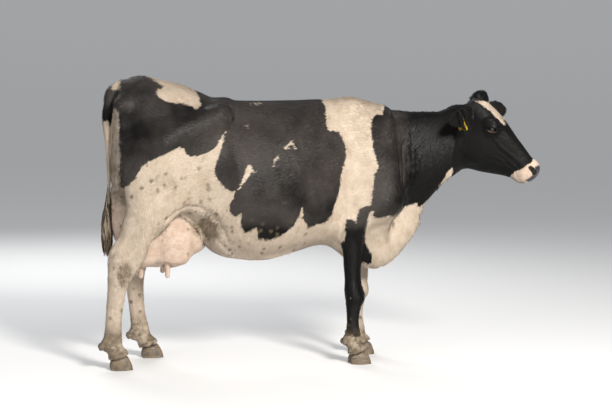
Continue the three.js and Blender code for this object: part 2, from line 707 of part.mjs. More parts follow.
// A flattened ball drawn out to a blunt tip.
function earGeometry(frame) {
  const geometry = new THREE.SphereGeometry(1, 9, 7).rotateZ(-Math.PI / 2);
  const position = geometry.attributes.position;
  for (let i = 0; i < position.count; i += 1) {
    const along = (position.getX(i) + 1) / 2;
    const narrow = 1 - EAR.rootNarrow * (1 - along) ** 2 - EAR.tipNarrow * along ** 4;
    const across = position.getY(i) * (EAR.width / 2) * narrow;
    position.setXYZ(i, ...frame(along * EAR.length, across, position.getZ(i) * (EAR.thick / 2)));
  }
  return geometry;
}

// A plate with rounded corners in the plane of three points of the ear, hanging across its blade, with
// a round stud at its head.
function tagSolid(frame, sign, drop) {
  const off = sign * (EAR.thick / 2 + TAG.clear);
  const centre = new THREE.Vector3(...frame(TAG.along, TAG.across, off));
  const along = new THREE.Vector3(...frame(TAG.along + 1, TAG.across, off)).sub(centre).normalize();
  const down = new THREE.Vector3(...frame(TAG.along, TAG.across + 1, off)).sub(centre);
  const out = new THREE.Vector3().crossVectors(along, down).normalize();
  const turn = new THREE.Matrix4().makeBasis(along, new THREE.Vector3().crossVectors(out, along), out);
  turn.setPosition(centre);

  const outline = new THREE.Shape();
  const [w, neck, r] = [TAG.width / 2, TAG.neck / 2, TAG.corner];
  outline.moveTo(-neck, -TAG.neck / 2);
  outline.lineTo(neck, -TAG.neck / 2);
  outline.lineTo(w, drop - TAG.square);
  outline.lineTo(w, drop - r);
  outline.quadraticCurveTo(w, drop, w - r, drop);
  outline.lineTo(r - w, drop);
  outline.quadraticCurveTo(-w, drop, -w, drop - r);
  outline.lineTo(-w, drop - TAG.square);
  const plate = new THREE.ExtrudeGeometry(outline, { depth: TAG.thick, bevelEnabled: false, curveSegments: 2 })
    .translate(0, 0, -TAG.thick / 2).applyMatrix4(turn);
  const stud = new THREE.CylinderGeometry(TAG.stud, TAG.stud, TAG.thick + TAG.studProud, 7)
    .rotateX(Math.PI / 2).applyMatrix4(turn);
  return { solid: solidOfGeometry(plate).add(solidOfGeometry(stud)), turn };
}

function addTags(ear, frame) {
  const front = tagSolid(frame, -1, TAG.height);
  const back = tagSolid(frame, 1, TAG.height + TAG.backLonger);
  const reach = EAR.thick + 2 * TAG.clear + TAG.thick;
  const pin = (radius, length) => solidOfGeometry(
    new THREE.CylinderGeometry(radius, radius, length, 6).rotateX(Math.PI / 2)
      .translate(0, 0, -length / 2).applyMatrix4(back.turn));
  addPart("eartag_front", front.solid.subtract(pin(TAG.pin + GAP, 2 * reach)), COLOURS.tag, 0.45);
  addPart("eartag_back", back.solid.add(pin(TAG.pin, reach)), COLOURS.tag, 0.45);
  return ear.subtract(pin(TAG.pin + GAP, 2 * reach));
}

function addHead() {
  const sides = [["right", RIGHT], ["left", LEFT]];
  let head = solidOfMesh(headMesh).intersect(roomBehind([flipped(HEAD_CUT)], -GAP / 2));
  const headGrown = solidOfMesh(grown(headMesh, GAP));
  for (const [name, side] of sides) {
    const centre = HEAD_FRAME.toWorld([EYE.at, EYE.out * side, -EYE.below]);
    const eye = (extra) =>
      solidOfGeometry(new THREE.SphereGeometry(EYE.radius + extra, 9, 6).translate(...centre));
    head = head.subtract(eye(GAP * 1.5));
    addPart("eye_" + name, eye(0), COLOURS.eye, 0.15);

    const frame = earFrame(name, side);
    const ear = largest(solidOfGeometry(earGeometry(frame)).subtract(headGrown));
    addPart("ear_" + name, side === RIGHT ? addTags(ear, frame) : ear, COLOURS.black);
  }
  addPart("head", largest(head), COLOURS.black);
}

const udderMesh = surfaceMesh(udderField, [
  lines(-120, 540, 94), lines(-250, 250, 84), lines(440, 1100, 83),
]);

function addUdder() {
  const bodies = [trunkMesh, ...Object.values(LEGS).filter((l) => l.hind).map((l) => l.mesh)];
  const udder = bodies.reduce((u, b) => u.subtract(seatOf(b)), solidOfMesh(udderMesh));
  const udderGrown = solidOfMesh(grown(udderMesh, GAP));
  addPart("udder", largest(udder), COLOURS.pink);
  for (const [place, teat] of Object.entries(TEATS))
    for (const [name, side] of [["right", RIGHT], ["left", LEFT]]) {
      const tip = teat.top - teat.length;
      const points = TEAT_OUTLINE.map(([r, h]) =>
        new THREE.Vector2(r * teat.radius, Math.min(tip + h, teat.top)));
      points.push(new THREE.Vector2(0, teat.top));
      const geometry = new THREE.LatheGeometry(points, 8)
        .rotateX(Math.PI / 2).translate(teat.x, teat.y * side, 0);
      const solid = solidOfGeometry(geometry);
      addPart(`teat_${place}_${name}`, largest(solid.subtract(udderGrown)), COLOURS.pink);
    }
}

// Rings of vertices round a line of stations, closed with a point at both ends.
function ringMesh(stations, sides, ringsPerStation) {
  const at = smoothStations(stations.map((s, i) => ({ ...s, i })), "i");
  const rings = (stations.length - 1) * ringsPerStation;
  const middleOf = (n) => {
    const s = at(n / ringsPerStation);
    return { ...s, centre: [s.x, s.y, s.z] };
  };
  const positions = [];
  for (let n = 0; n <= rings; n += 1) {
    const s = middleOf(n);
    const along = unit(subtract(middleOf(Math.min(rings, n + 1)).centre, middleOf(Math.max(0, n - 1)).centre));
    const out = unit(cross(along, [0, 1, 0]));
    for (let i = 0; i < sides; i += 1) {
      const angle = (2 * Math.PI * i) / sides;
      const [c, a] = [Math.cos(angle) * s.depth, Math.sin(angle) * s.width];
      positions.push(s.x + out[0] * c, s.y + a, s.z + out[2] * c);
    }
  }
  const first = positions.length / 3;
  positions.push(...middleOf(0).centre, ...middleOf(rings).centre);
  const faces = [];
  for (let i = 0; i < sides; i += 1) {
    const j = (i + 1) % sides;
    faces.push(first, i, j, first + 1, rings * sides + j, rings * sides + i);
    for (let n = 0; n < rings; n += 1) {
      const [a, b] = [n * sides, (n + 1) * sides];
      faces.push(a + i, b + i, b + j, a + i, b + j, a + j);
    }
  }
  return { positions, faces };
}

function addTail() {
  const bodies = [trunkMesh, udderMesh, ...Object.values(LEGS).filter((l) => l.hind).map((l) => l.mesh)];
  const tail = bodies.reduce((t, b) => t.subtract(seatOf(b)), solidOfMesh(ringMesh(Object.values(TAIL), 7, 2)));
  addPart("tail", largest(tail), COLOURS.white);
}

// One claw: a flat sole with a straight inner edge and a curved outer one, drawn up to a smaller ring at
// the coronet, which lies further back and slopes down to the heel.
const CLAW_SIDES = 9;
function clawGeometry(inward) {
  const outline = Array.from({ length: CLAW_SIDES }, (_, i) => {
    const angle = (2 * Math.PI * i) / CLAW_SIDES;
    const x = Math.cos(angle);
    const y = Math.sin(angle);
    const flat = y * inward > 0 ? CLAW.inner : 1;
    return [x, y * flat * (1 - CLAW.toeTaper * clamp01(x) ** 2)];
  });
  const rings = [
    { scale: 0.97, back: 0, high: () => 0 },
    { scale: 1, back: 0, high: () => CLAW.wallHeight },
    { scale: CLAW.coronet, back: -CLAW.lean, high: (x) => CLAW.heelHeight + (CLAW.toeHeight - CLAW.heelHeight) * x },
  ];
  const positions = rings.flatMap(({ scale, back, high }) =>
    outline.flatMap(([x, y]) => [
      x * scale * CLAW.length / 2 + back,
      y * scale * CLAW.width / 2,
      high(0.5 + x / 2),
    ]));
  const top = rings.length - 1;
  const centre = (ring) => positions.length / 3 - 2 + ring;
  positions.push(0, 0, 0, rings[top].back, 0, (CLAW.heelHeight + CLAW.toeHeight) / 2);
  const faces = [];
  for (let i = 0; i < CLAW_SIDES; i += 1) {
    const j = (i + 1) % CLAW_SIDES;
    faces.push(centre(0), j, i);
    faces.push(centre(1), top * CLAW_SIDES + i, top * CLAW_SIDES + j);
    for (let ring = 0; ring < top; ring += 1) {
      const [a, b] = [ring * CLAW_SIDES, (ring + 1) * CLAW_SIDES];
      faces.push(a + i, a + j, b + j, a + i, b + j, b + i);
    }
  }
  const geometry = new THREE.BufferGeometry();
  geometry.setAttribute("position", new THREE.Float32BufferAttribute(positions, 3));
  return geometry.setIndex(faces);
}

function addFeet() {
  for (const [legName, leg] of Object.entries(LEGS)) {
    const foot = leg.stations[leg.stations.length - 1];
    const fetlock = leg.stations.find((s) => s.z === HIND_LEG.fetlock.z);
    const place = legName.replace("leg_", "");
    const behind = DEWCLAW.behind[leg.hind ? "hind" : "fore"];
    const { point, normal } = flipped(coronetPlane(leg));
    const above = beyondPlane(point, normal);
    for (const [claw, side] of [["outer", leg.side], ["inner", -leg.side]]) {
      const geometry = clawGeometry(-side)
        .rotateZ(-CLAW.toeIn * side)
        .translate(foot.x + CLAW.ahead, foot.y + side * CLAW.spread, 0);
      addPart(`claw_${place}_${claw}`, largest(solidOfGeometry(geometry).subtract(above)),
        COLOURS.horn, 0.55);

      const dew = new THREE.SphereGeometry(1, 6, 3)
        .scale(DEWCLAW.radius, DEWCLAW.radius, DEWCLAW.length / 2).rotateY(DEWCLAW.tilt)
        .translate(fetlock.x - behind, fetlock.y + side * DEWCLAW.apart, DEWCLAW.z);
      const legGrown = seatOf(leg.mesh);
      addPart(`dewclaw_${place}_${claw}`, largest(solidOfGeometry(dew).subtract(legGrown)),
        COLOURS.horn, 0.55);
    }
  }
}

addFlesh();
addHead();
addUdder();
addTail();
addFeet();

// The origin is the middle of the underside of the whole.
const box = new THREE.Box3().setFromObject(root);
const middle = box.getCenter(new THREE.Vector3());
root.position.set(-middle.x, -middle.y, -box.min.z);

export default root;
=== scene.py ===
"""A standing black-and-white dairy cow, life size.

One skin stands for all the parts of flesh; a short coat of solid tufts lies over it, and the eyes, claws
and ear tags are pieces of their own. Shapes are described in the cow's own frame, in millimetres: +X from
the pin bones to the head, +Y to the cow's left, +Z up, floor at 0.
"""

import math

import bpy
import numpy as np
from mathutils import Matrix, Vector


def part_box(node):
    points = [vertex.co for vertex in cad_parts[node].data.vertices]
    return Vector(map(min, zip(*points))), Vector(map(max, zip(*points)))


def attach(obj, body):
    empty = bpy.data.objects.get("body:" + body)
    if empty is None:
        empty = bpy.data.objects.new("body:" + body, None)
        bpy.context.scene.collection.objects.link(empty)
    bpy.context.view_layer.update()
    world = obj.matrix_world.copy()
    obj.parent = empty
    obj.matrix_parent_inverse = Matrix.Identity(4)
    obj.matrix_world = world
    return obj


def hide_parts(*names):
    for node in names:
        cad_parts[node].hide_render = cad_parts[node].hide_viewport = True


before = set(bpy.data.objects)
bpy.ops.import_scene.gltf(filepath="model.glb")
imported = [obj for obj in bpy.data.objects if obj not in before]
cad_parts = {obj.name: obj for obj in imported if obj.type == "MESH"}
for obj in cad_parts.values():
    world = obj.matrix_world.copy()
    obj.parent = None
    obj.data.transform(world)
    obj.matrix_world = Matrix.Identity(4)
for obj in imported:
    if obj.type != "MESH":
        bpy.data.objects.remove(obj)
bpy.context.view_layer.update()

MM = 0.001
RIGHT = -1  # the side of the cow, as the sign of Y
LEFT = 1
chance = np.random.default_rng(7)

# ---- The cow's shape: the same named sizes as the solids, mm ----

# Each row: at, top, bottom, widest, half.
TRUNK = {
    "seat": (40, 1490, 900, 1225, 134),
    "tail_head": (120, 1514, 900, 1215, 196),
    "thurl": (240, 1494, 835, 1180, 244),
    "sacrum": (340, 1472, 768, 1165, 264),
    "rump_front": (430, 1438, 680, 1140, 280),
    "hooks": (520, 1407, 588, 1060, 296),
    "loin": (640, 1398, 552, 960, 340),
    "barrel": (800, 1402, 546, 905, 362),
    "ribs": (950, 1408, 586, 905, 338),
    "girth": (1100, 1416, 624, 925, 272),
    "heart": (1220, 1418, 606, 945, 226),
    "withers": (1320, 1404, 598, 950, 212),
    "chest": (1450, 1376, 640, 985, 196),
}
HOOK = ((512, 226, 1302), 48)
LOIN = ((560, 70, 1352), 48)
PIN = ((30, 122, 1352), 50)
SEAT = ((130, 60, 1420), 52)
THURL = ((262, 200, 1190), 60)
SHOULDER_POINT = ((1448, 160, 885), 74)
BLADE_TOP = ((1250, 78, 1352), 46)
ELBOW = ((1205, 168, 762), 52)

# Each row: x, y, z, depth, width.
HIND_LEG = {
    "hip": (236, 158, 1130, 224, 94),
    "thigh": (208, 176, 950, 198, 92),
    "stifle": (163, 182, 815, 131, 80),
    "gaskin": (110, 180, 719, 92, 60),
    "tendon": (80, 176, 640, 87, 44),
    "hock_tip": (52, 172, 585, 92, 42),
    "hock": (34, 170, 540, 82, 44),
    "hock_foot": (16, 169, 470, 62, 40),
    "cannon_top": (3, 168, 390, 49, 32),
    "cannon": (-9, 168, 250, 43, 30),
    "fetlock": (-11, 168, 150, 49, 41),
    "pastern": (0, 168, 105, 44, 44),
    "coronet": (20, 168, 62, 52, 53),
    "sole": (30, 168, 20, 54, 55),
}
FORE_LEG = {
    "elbow": (1238, 164, 740, 74, 58),
    "forearm": (1251, 157, 640, 58, 50),
    "forearm_foot": (1259, 150, 480, 46, 43),
    "knee_top": (1267, 146, 405, 52, 50),
    "knee": (1277, 144, 360, 55, 52),
    "knee_foot": (1271, 143, 318, 45, 44),
    "cannon": (1269, 142, 235, 34, 32),
    "fetlock": (1274, 141, 150, 42, 41),
    "pastern": (1284, 141, 105, 41, 46),
    "coronet": (1300, 141, 64, 53, 56),
    "sole": (1310, 141, 20, 56, 58),
}
# A stepping leg: how far its foot is ahead, between which heights it swings there, the ease of the swing
# and the forearm's lean.
STEP = {
    "hind_left": (200, 860, 0, 0.75, 0),
    "fore_left": (101, 800, 620, 1.0, 34),
}
SWAY_AT, SWAY_OVER = 540, 120
PAD_BEHIND = {"hind": 32, "fore": 26}
PAD_Z, PAD_HALF = 126, (34, 42, 34)

NECK = {
    "base": (1330, 0, 1108, 282, 172),
    "root": (1480, -8, 1120, 252, 142),
    "middle": (1620, -32, 1140, 232, 106),
    "front": (1732, -60, 1178, 202, 92),
    "throat": (1818, -84, 1224, 172, 86),
    "nape": (1886, -92, 1280, 142, 80),
}
BRISKET = {
    "sternum": (1300, 0, 640, 95, 100),
    "keel": (1415, 0, 626, 132, 92),
    "point": (1522, -2, 706, 114, 66),
    "dewlap": (1586, -8, 784, 100, 48),
    "fold": (1622, -22, 882, 84, 40),
    "throat": (1700, -46, 992, 70, 42),
}
POLL, HEAD_TURN, HEAD_DROOP = (1960, -125, 1481), 36, 50
FACE = {
    "crown": (40, -14, -215, -95, 74),
    "forehead": (120, 4, -285, -95, 94),
    "brow": (200, 10, -322, -90, 98),
    "cheek": (270, 8, -321, -120, 86),
    "bridge": (335, 4, -280, -120, 74),
    "nose": (400, 3, -222, -105, 61),
    "bar": (455, 0, -174, -85, 57),
    "lips": (505, -6, -146, -70, 57),
}
MUZZLE = ((503, 0, -62), (56, 72, 70))
CHIN = ((482, 0, -110), (46, 45, 29))
POLL_KNOB = ((37, 0, -28), (44, 56, 48))
ORBIT = ((208, 84, -54), (46, 30, 38))
MASSETER = ((232, 62, -196), (92, 40, 86))
EYE_AT, EYE_RADIUS = (219, 95, -58), 20

EAR_ROOT = (76, 78, -82)
EAR_LENGTH, EAR_WIDTH, EAR_THICK, EAR_CUP, EAR_BEND = 205, 118, 15, 0.0042, 14
EAR_AIM = {
    RIGHT: ((0.04, -0.9, -0.44), (0.86, 0.1, -0.5)),
    LEFT: ((0.24, 0.84, 0.49), (0.93, -0.1, -0.36)),
}
TAIL = {
    "root": (90, 0, 1452, 34, 40),
    "head": (18, 0, 1452, 32, 36),
    "bend": (-28, 0, 1408, 31, 32),
    "upper": (-40, 0, 1320, 26, 27),
    "dock": (-42, 0, 1230, 20, 22),
    "dock_middle": (-36, 0, 1130, 16, 18),
    "dock_end": (-29, 0, 990, 12, 15),
    "switch_top": (-31, 0, 900, 13, 18),
    "switch_full": (-38, 0, 740, 23, 30),
    "switch_low": (-34, 0, 630, 23, 28),
    "switch_tip": (-36, 0, 566, 9, 11),
}
UDDER = {
    "bag": ((210, 0, 715), (208, 150, 190)),
    "rear": ((84, 0, 815), (95, 92, 190)),
    "fore": ((372, 0, 700), (110, 120, 100)),
}
FORE_QUARTER = ((292, 80, 650), (100, 84, 116))
REAR_QUARTER = ((150, 74, 658), (96, 82, 124))
TEATS = {"fore": (272, 104, 545, 84), "rear": (137, 66, 537, 84)}
TEAT_RADIUS = 14.5

# ---- Fields: negative inside, positive outside, for many points at once ----


def clamp01(t):
    return np.clip(t, 0.0, 1.0)


def ramp(value, start, end):
    """0 before start, 1 after end, smooth between."""
    t = clamp01((value - start) / (end - start))
    return t * t * (3 - 2 * t)


def bump_at(value, centre, spread):
    return np.exp(-(((value - centre) / spread) ** 2))


def unit(v):
    v = np.asarray(v, float)
    return v / np.maximum(np.linalg.norm(v, axis=-1, keepdims=True), 1e-9)


def radial(length, k, inside):
    """Distance from a section's surface along the ray from its centre, where k is 1 on the surface."""
    return np.where(k < 1e-4, -inside, length * (1 - 1 / np.maximum(k, 1e-4)))


def smooth_stations(keys, table):
    """A smooth curve through rows of numbers, as a function of the place along them."""
    keys, table = np.asarray(keys, float), np.asarray(table, float)
    last = len(keys) - 1

    def slope(i):
        a, b = np.maximum(0, i - 1), np.minimum(last, i + 1)
        return (table[b] - table[a]) / (keys[b] - keys[a])[..., None]

    def at(value):
        i = np.clip(np.searchsorted(keys, value, side="right") - 1, 0, last - 1)
        span = keys[i + 1] - keys[i]
        t = clamp01((value - keys[i]) / span)
        rise = t * t * (3 - 2 * t)
        lean = (1 - t)[..., None] * slope(i) - t[..., None] * slope(i + 1)
        return table[i] + (table[i + 1] - table[i]) * rise[..., None] + (t * (1 - t) * span)[..., None] * lean

    return at


class Frame:
    """An origin and three directions: forward, left, up."""

    def __init__(self, origin, axes):
        self.origin, self.axes = np.asarray(origin, float), np.asarray(axes, float)

    def to_local(self, p):
        return (p - self.origin) @ self.axes.T

    def to_world(self, q):
        return self.origin + np.asarray(q, float) @ self.axes


WORLD = Frame((0, 0, 0), np.eye(3))


def head_frame():
    turn, droop = math.radians(HEAD_TURN), math.radians(HEAD_DROOP)
    left = np.array([math.sin(turn), math.cos(turn), 0])
    level = np.array([math.cos(turn), -math.sin(turn), 0])
    forward = level * math.cos(droop) - np.array([0, 0, math.sin(droop)])
    return Frame(POLL, [forward, left, np.cross(forward, left)])


HEAD = head_frame()
EVERYWHERE = (np.full(3, -1e6), np.full(3, 1e6))


def loft(place, sections, cap_start, cap_end, fullness):
    rows = np.array(list(sections.values()), float)
    section_at = smooth_stations(rows[:, 0], rows)

    def field(p):
        q = place.to_local(p)
        at = np.clip(q[:, 0], rows[0, 0], rows[-1, 0])
        s = section_at(at)
        top, bottom, widest, half = s[:, 1], s[:, 2], s[:, 3], s[:, 4]
        up = q[:, 2] - widest
        rise = np.where(up > 0, top - widest, widest - bottom)
        beyond = q[:, 0] - at
        cap = np.where(beyond < 0, cap_start, cap_end)
        k = (np.abs(q[:, 1] / half) ** fullness + np.abs(up / rise) ** fullness
             + np.abs(beyond / cap) ** fullness) ** (1 / fullness)
        length = np.sqrt(beyond ** 2 + q[:, 1] ** 2 + up ** 2)
        return radial(length, k, np.minimum(half, rise))

    return field, EVERYWHERE


STEPS_PER_STATION = 4


def limb(stations, side):
    """A limb along a smooth line of stations (x, y, z, depth, width), elliptic square to it."""
    rows = np.array(stations, float)
    count = (len(rows) - 1) * STEPS_PER_STATION
    nodes = smooth_stations(np.arange(len(rows)), rows)(np.arange(count + 1) / STEPS_PER_STATION)
    start, along = nodes[:-1, :3], nodes[1:, :3] - nodes[:-1, :3]
    squared = (along ** 2).sum(1)
    axis = unit(along)
    out = unit(np.cross(axis, side))
    across = np.cross(out, axis)

    def field(p):
        best = np.full(len(p), np.inf)
        found = np.zeros(len(p), int)
        for n in range(count):
            q = p - start[n]
            t = clamp01(q @ along[n] / squared[n])
            r = q - t[:, None] * along[n]
            length = (r ** 2).sum(1)
            closer = length < best
            best[closer], found[closer] = length[closer], n
        q = p - start[found]
        t = clamp01((q * along[found]).sum(1) / squared[found])
        r = q - t[:, None] * along[found]
        depth, width = (nodes[found, k] + (nodes[found + 1, k] - nodes[found, k]) * t for k in (3, 4))
        cap = np.minimum(depth, width)
        k = np.sqrt(((r * out[found]).sum(1) / depth) ** 2 + ((r * across[found]).sum(1) / width) ** 2
                    + ((r * axis[found]).sum(1) / cap) ** 2)
        return radial(np.sqrt(best), k, cap)

    room = rows[:, 3:].max()
    return field, (nodes[:, :3].min(0) - room, nodes[:, :3].max(0) + room)


def ball(place, centre, half):
    centre, half = np.asarray(centre, float), np.asarray(half, float)

    def field(p):
        q = place.to_local(p) - centre
        return radial(np.linalg.norm(q, axis=1), np.linalg.norm(q / half, axis=1), half.min())

    middle = place.to_world(centre)
    return field, (middle - half.max(), middle + half.max())


def bone(start, start_radius, end, end_radius):
    start, along = np.asarray(start, float), np.subtract(end, start).astype(float)
    squared = along @ along

    def field(p):
        q = p - start
        t = clamp01(q @ along / squared)
        gap = np.linalg.norm(q - t[:, None] * along, axis=1)
        return gap - start_radius - (end_radius - start_radius) * t

    room = max(start_radius, end_radius)
    ends = np.array([start, start + along])
    return field, (ends.min(0) - room, ends.max(0) + room)


REACH = 90  # no mass is asked about points further off than this beyond its melt


def melt(masses):
    """Each (mass, over) melts into those before it; a negative width cuts the mass out instead."""

    def field(p):
        value = np.full(len(p), 1e6)
        for (mass, (low, high)), over in masses:
            width = abs(over)
            room = width + REACH
            near = np.all((p > low - room) & (p < high + room), axis=1)
            if not near.any():
                continue
            d, so_far = mass(p[near]), value[near]
            if over < 0:
                d = -d
                h = np.maximum(width - np.abs(so_far - d), 0) / width
                value[near] = np.maximum(so_far, d) + h * h * width / 4
            else:
                h = np.maximum(width - np.abs(so_far - d), 0) / width
                value[near] = np.minimum(so_far, d) - h * h * width / 4
        return value

    return field


def sided(point, side):
    return (point[0], point[1] * side, point[2])


def leg_stations(leg, side, step=None):
    rows = []
    for x, y, z, depth, width in leg.values():
        if step:
            ahead, top, foot, ease, sway = step
            share = clamp01((top - z) / (top - foot)) ** ease
            x = x + ahead * share + sway * bump_at(z, SWAY_AT, SWAY_OVER)
        rows.append((x, y * side, z, depth, width))
    return rows


LEGS = {
    ("hind", RIGHT): leg_stations(HIND_LEG, RIGHT),
    ("hind", LEFT): leg_stations(HIND_LEG, LEFT, STEP["hind_left"]),
    ("fore", RIGHT): leg_stations(FORE_LEG, RIGHT),
    ("fore", LEFT): leg_stations(FORE_LEG, LEFT, STEP["fore_left"]),
}
LEG_FIELDS = {key: limb(rows, (0, 1, 0)) for key, rows in LEGS.items()}


def fetlock_of(rows):
    return next(r for r in rows if r[2] == HIND_LEG["fetlock"][2])


def trunk_masses(side):
    hook, pin = sided(HOOK[0], side), sided(PIN[0], side)
    blade, shoulder = sided(BLADE_TOP[0], side), sided(SHOULDER_POINT[0], side)
    return [
        (bone(sided(LOIN[0], side), LOIN[1], hook, HOOK[1]), 55),
        (bone(sided(SEAT[0], side), SEAT[1], pin, PIN[1]), 60),
        (bone(hook, HOOK[1], sided(THURL[0], side), THURL[1]), 70),
        (bone(blade, BLADE_TOP[1], shoulder, SHOULDER_POINT[1]), 110),
        (bone(shoulder, SHOULDER_POINT[1], sided(ELBOW[0], side), ELBOW[1]), 70),
    ]


def body_masses():
    masses = [(loft(WORLD, TRUNK, 57, 60, 2.1), 1)]
    masses += trunk_masses(RIGHT) + trunk_masses(LEFT)
    masses.append((limb(list(NECK.values()), (0.2, 0.98, 0)), 90))
    masses.append((limb(list(BRISKET.values()), (0.1, 0.99, 0)), 60))
    masses.append((loft(HEAD, FACE, 60, 44, 2.15), 45))
    masses += [(ball(HEAD, *MUZZLE), 26), (ball(HEAD, *CHIN), 20), (ball(HEAD, *POLL_KNOB), 30)]
    masses += [(ball(HEAD, sided(ORBIT[0], s), ORBIT[1]), 22) for s in (RIGHT, LEFT)]
    masses += [(ball(HEAD, sided(MASSETER[0], s), MASSETER[1]), 40) for s in (RIGHT, LEFT)]
    masses += [(LEG_FIELDS[key], 70 if key[0] == "hind" else 60) for key in LEGS]
    for (end, _), rows in LEGS.items():
        x, y = fetlock_of(rows)[:2]
        masses.append((ball(WORLD, (x - PAD_BEHIND[end], y, PAD_Z), PAD_HALF), 20))
    return masses


def udder_masses():
    masses = [(ball(WORLD, *UDDER["bag"]), 1)]
    masses += [(ball(WORLD, *UDDER["rear"]), 50), (ball(WORLD, *UDDER["fore"]), 60)]
    for side in (RIGHT, LEFT):
        masses.append((ball(WORLD, sided(FORE_QUARTER[0], side), FORE_QUARTER[1]), 22))
        masses.append((ball(WORLD, sided(REAR_QUARTER[0], side), REAR_QUARTER[1]), 22))
    return masses


def teat_masses():
    masses = []
    for x, y, top, length in TEATS.values():
        for side in (RIGHT, LEFT):
            tip = (x, y * side, top - length + TEAT_RADIUS)
            masses.append((bone((x, y * side, top + 10), TEAT_RADIUS * 1.05, tip, TEAT_RADIUS * 0.92), 12))
    return masses


def ear_frame(side):
    axis, edge = (np.array(v, float) for v in EAR_AIM[side])
    axis = unit(axis)
    edge = unit(edge - axis * (axis @ edge))
    face = np.cross(axis, edge)
    turn = np.array([axis, edge, face]) @ HEAD.axes
    return Frame(HEAD.to_world(sided(EAR_ROOT, side)), turn)


EARS = {side: ear_frame(side) for side in (RIGHT, LEFT)}


def ear_lift(along, across, side):
    return (EAR_BEND * (along / EAR_LENGTH) ** 2 - EAR_CUP * across * across) * side


def ear_mass(side, thick=EAR_THICK):
    place = EARS[side]

    def field(p):
        q = place.to_local(p)
        u = q[:, 0] / EAR_LENGTH * 2 - 1
        along = clamp01(q[:, 0] / EAR_LENGTH)
        narrow = 1 - 0.42 * (1 - along) ** 2 - 0.3 * along ** 4
        half = EAR_WIDTH / 2 * narrow
        across = np.clip(q[:, 1], -1.15 * half, 1.15 * half)
        off = q[:, 2] - ear_lift(along * EAR_LENGTH, across, side)
        k = np.sqrt(u ** 2 + (q[:, 1] / half) ** 2 + (off / (thick / 2)) ** 2)
        length = np.sqrt((u * EAR_LENGTH / 2) ** 2 + q[:, 1] ** 2 + off ** 2)
        return radial(length, k, thick / 2)

    middle = place.to_world((EAR_LENGTH / 2, 0, 0))
    return field, (middle - EAR_LENGTH * 0.6, middle + EAR_LENGTH * 0.6)


tail_field = limb(list(TAIL.values()), (0, 1, 0))
udder_field = melt(udder_masses() + teat_masses())

# ---- The camera, which the markings of the near side are laid out with ----

PICTURE = (612, 408)
CAMERA_PLACE = (-0.55, -6.63, 1.28)  # m, in the cow's own frame
CAMERA_YAW, CAMERA_PITCH, CAMERA_ROLL = math.radians(13.4), math.radians(3.63), math.radians(1.32)
FOCAL_PIXELS = 1262

LOOK = np.array([math.sin(CAMERA_YAW) * math.cos(CAMERA_PITCH), math.cos(CAMERA_YAW) * math.cos(CAMERA_PITCH),
                 -math.sin(CAMERA_PITCH)])
ACROSS = np.array([math.cos(CAMERA_YAW), -math.sin(CAMERA_YAW), 0])
RISE = np.cross(ACROSS, LOOK)


def in_picture(p):
    """Where points of the cow's own frame (mm) stand in the camera's image, in pixels."""
    q = p * MM - np.array(CAMERA_PLACE)
    x, y = q @ ACROSS / (q @ LOOK) * FOCAL_PIXELS, -(q @ RISE) / (q @ LOOK) * FOCAL_PIXELS
    c, s = math.cos(CAMERA_ROLL), math.sin(CAMERA_ROLL)
    return np.stack([PICTURE[0] / 2 + c * x - s * y, PICTURE[1] / 2 + s * x + c * y], -1)


# ---- Markings: outlines in the camera's image of the near side, in its pixels ----

BLACK_RUMP_AND_BARREL = [
    (321.6, 40), (100, 40), (100, 104), (112, 105), (118.6, 112), (119.8, 130), (120.2, 160), (120.4, 178),
    (121.6, 187), (124.5, 188.5), (136, 178), (142, 167), (150, 161),
    (160, 156.5), (169, 152.5), (180, 146), (183.6, 149), (187, 155), (195, 156.5), (206, 154), (215.5, 148),
    (220, 140), (226, 131), (223.5, 143), (219, 157), (215, 167), (215.5, 176), (222, 185), (230, 192),
    (235.5, 191.5), (238.6, 189), (243, 178), (248, 163.6), (256, 172), (251, 171.6), (246, 181),
    (239.5, 190), (235.5, 194), (230, 203.5), (229, 211.5), (234, 217), (241.5, 213.7), (241, 226),
    (244.6, 233), (251, 231), (257, 227.5), (259, 240), (269, 243), (281, 236.6), (293.6, 226),
    (299.7, 216.7), (302, 208), (303.5, 220), (308, 227.6), (315, 226), (325, 222.6), (331.5, 216),
    (335, 204), (340.6, 189), (340.6, 179.5), (343, 169.5), (346, 158), (346.4, 148), (341.5, 136),
    (335.6, 130.6), (329, 131.4), (326.5, 123), (325.7, 108), (321.6, 98),
]
WHITE_RUMP = [
    (144, 75), (152, 76), (164, 80), (182, 85), (195, 90), (200, 97), (201, 104.6), (197, 110), (191.6, 106),
    (180, 103), (166, 102), (161, 98), (156.5, 94), (158, 90), (163.7, 88), (160, 84), (150, 78),
]
WHITE_FLECKS = {
    "belly fleck": [(272.7, 165.5), (275, 159), (279, 155), (279.5, 157), (276, 162), (274, 166.5)],
    "arc": [
        (283.5, 150), (287, 144.5), (292, 141), (295.5, 146), (296.5, 151.5), (293, 147), (291, 144.5),
        (286, 149),
    ],
    "back line": [(250, 103.9), (256, 102.9), (262, 103.2), (256, 104.2)],
    "hook fleck": [(245.5, 126), (248.5, 125.5), (248, 128.5)],
}
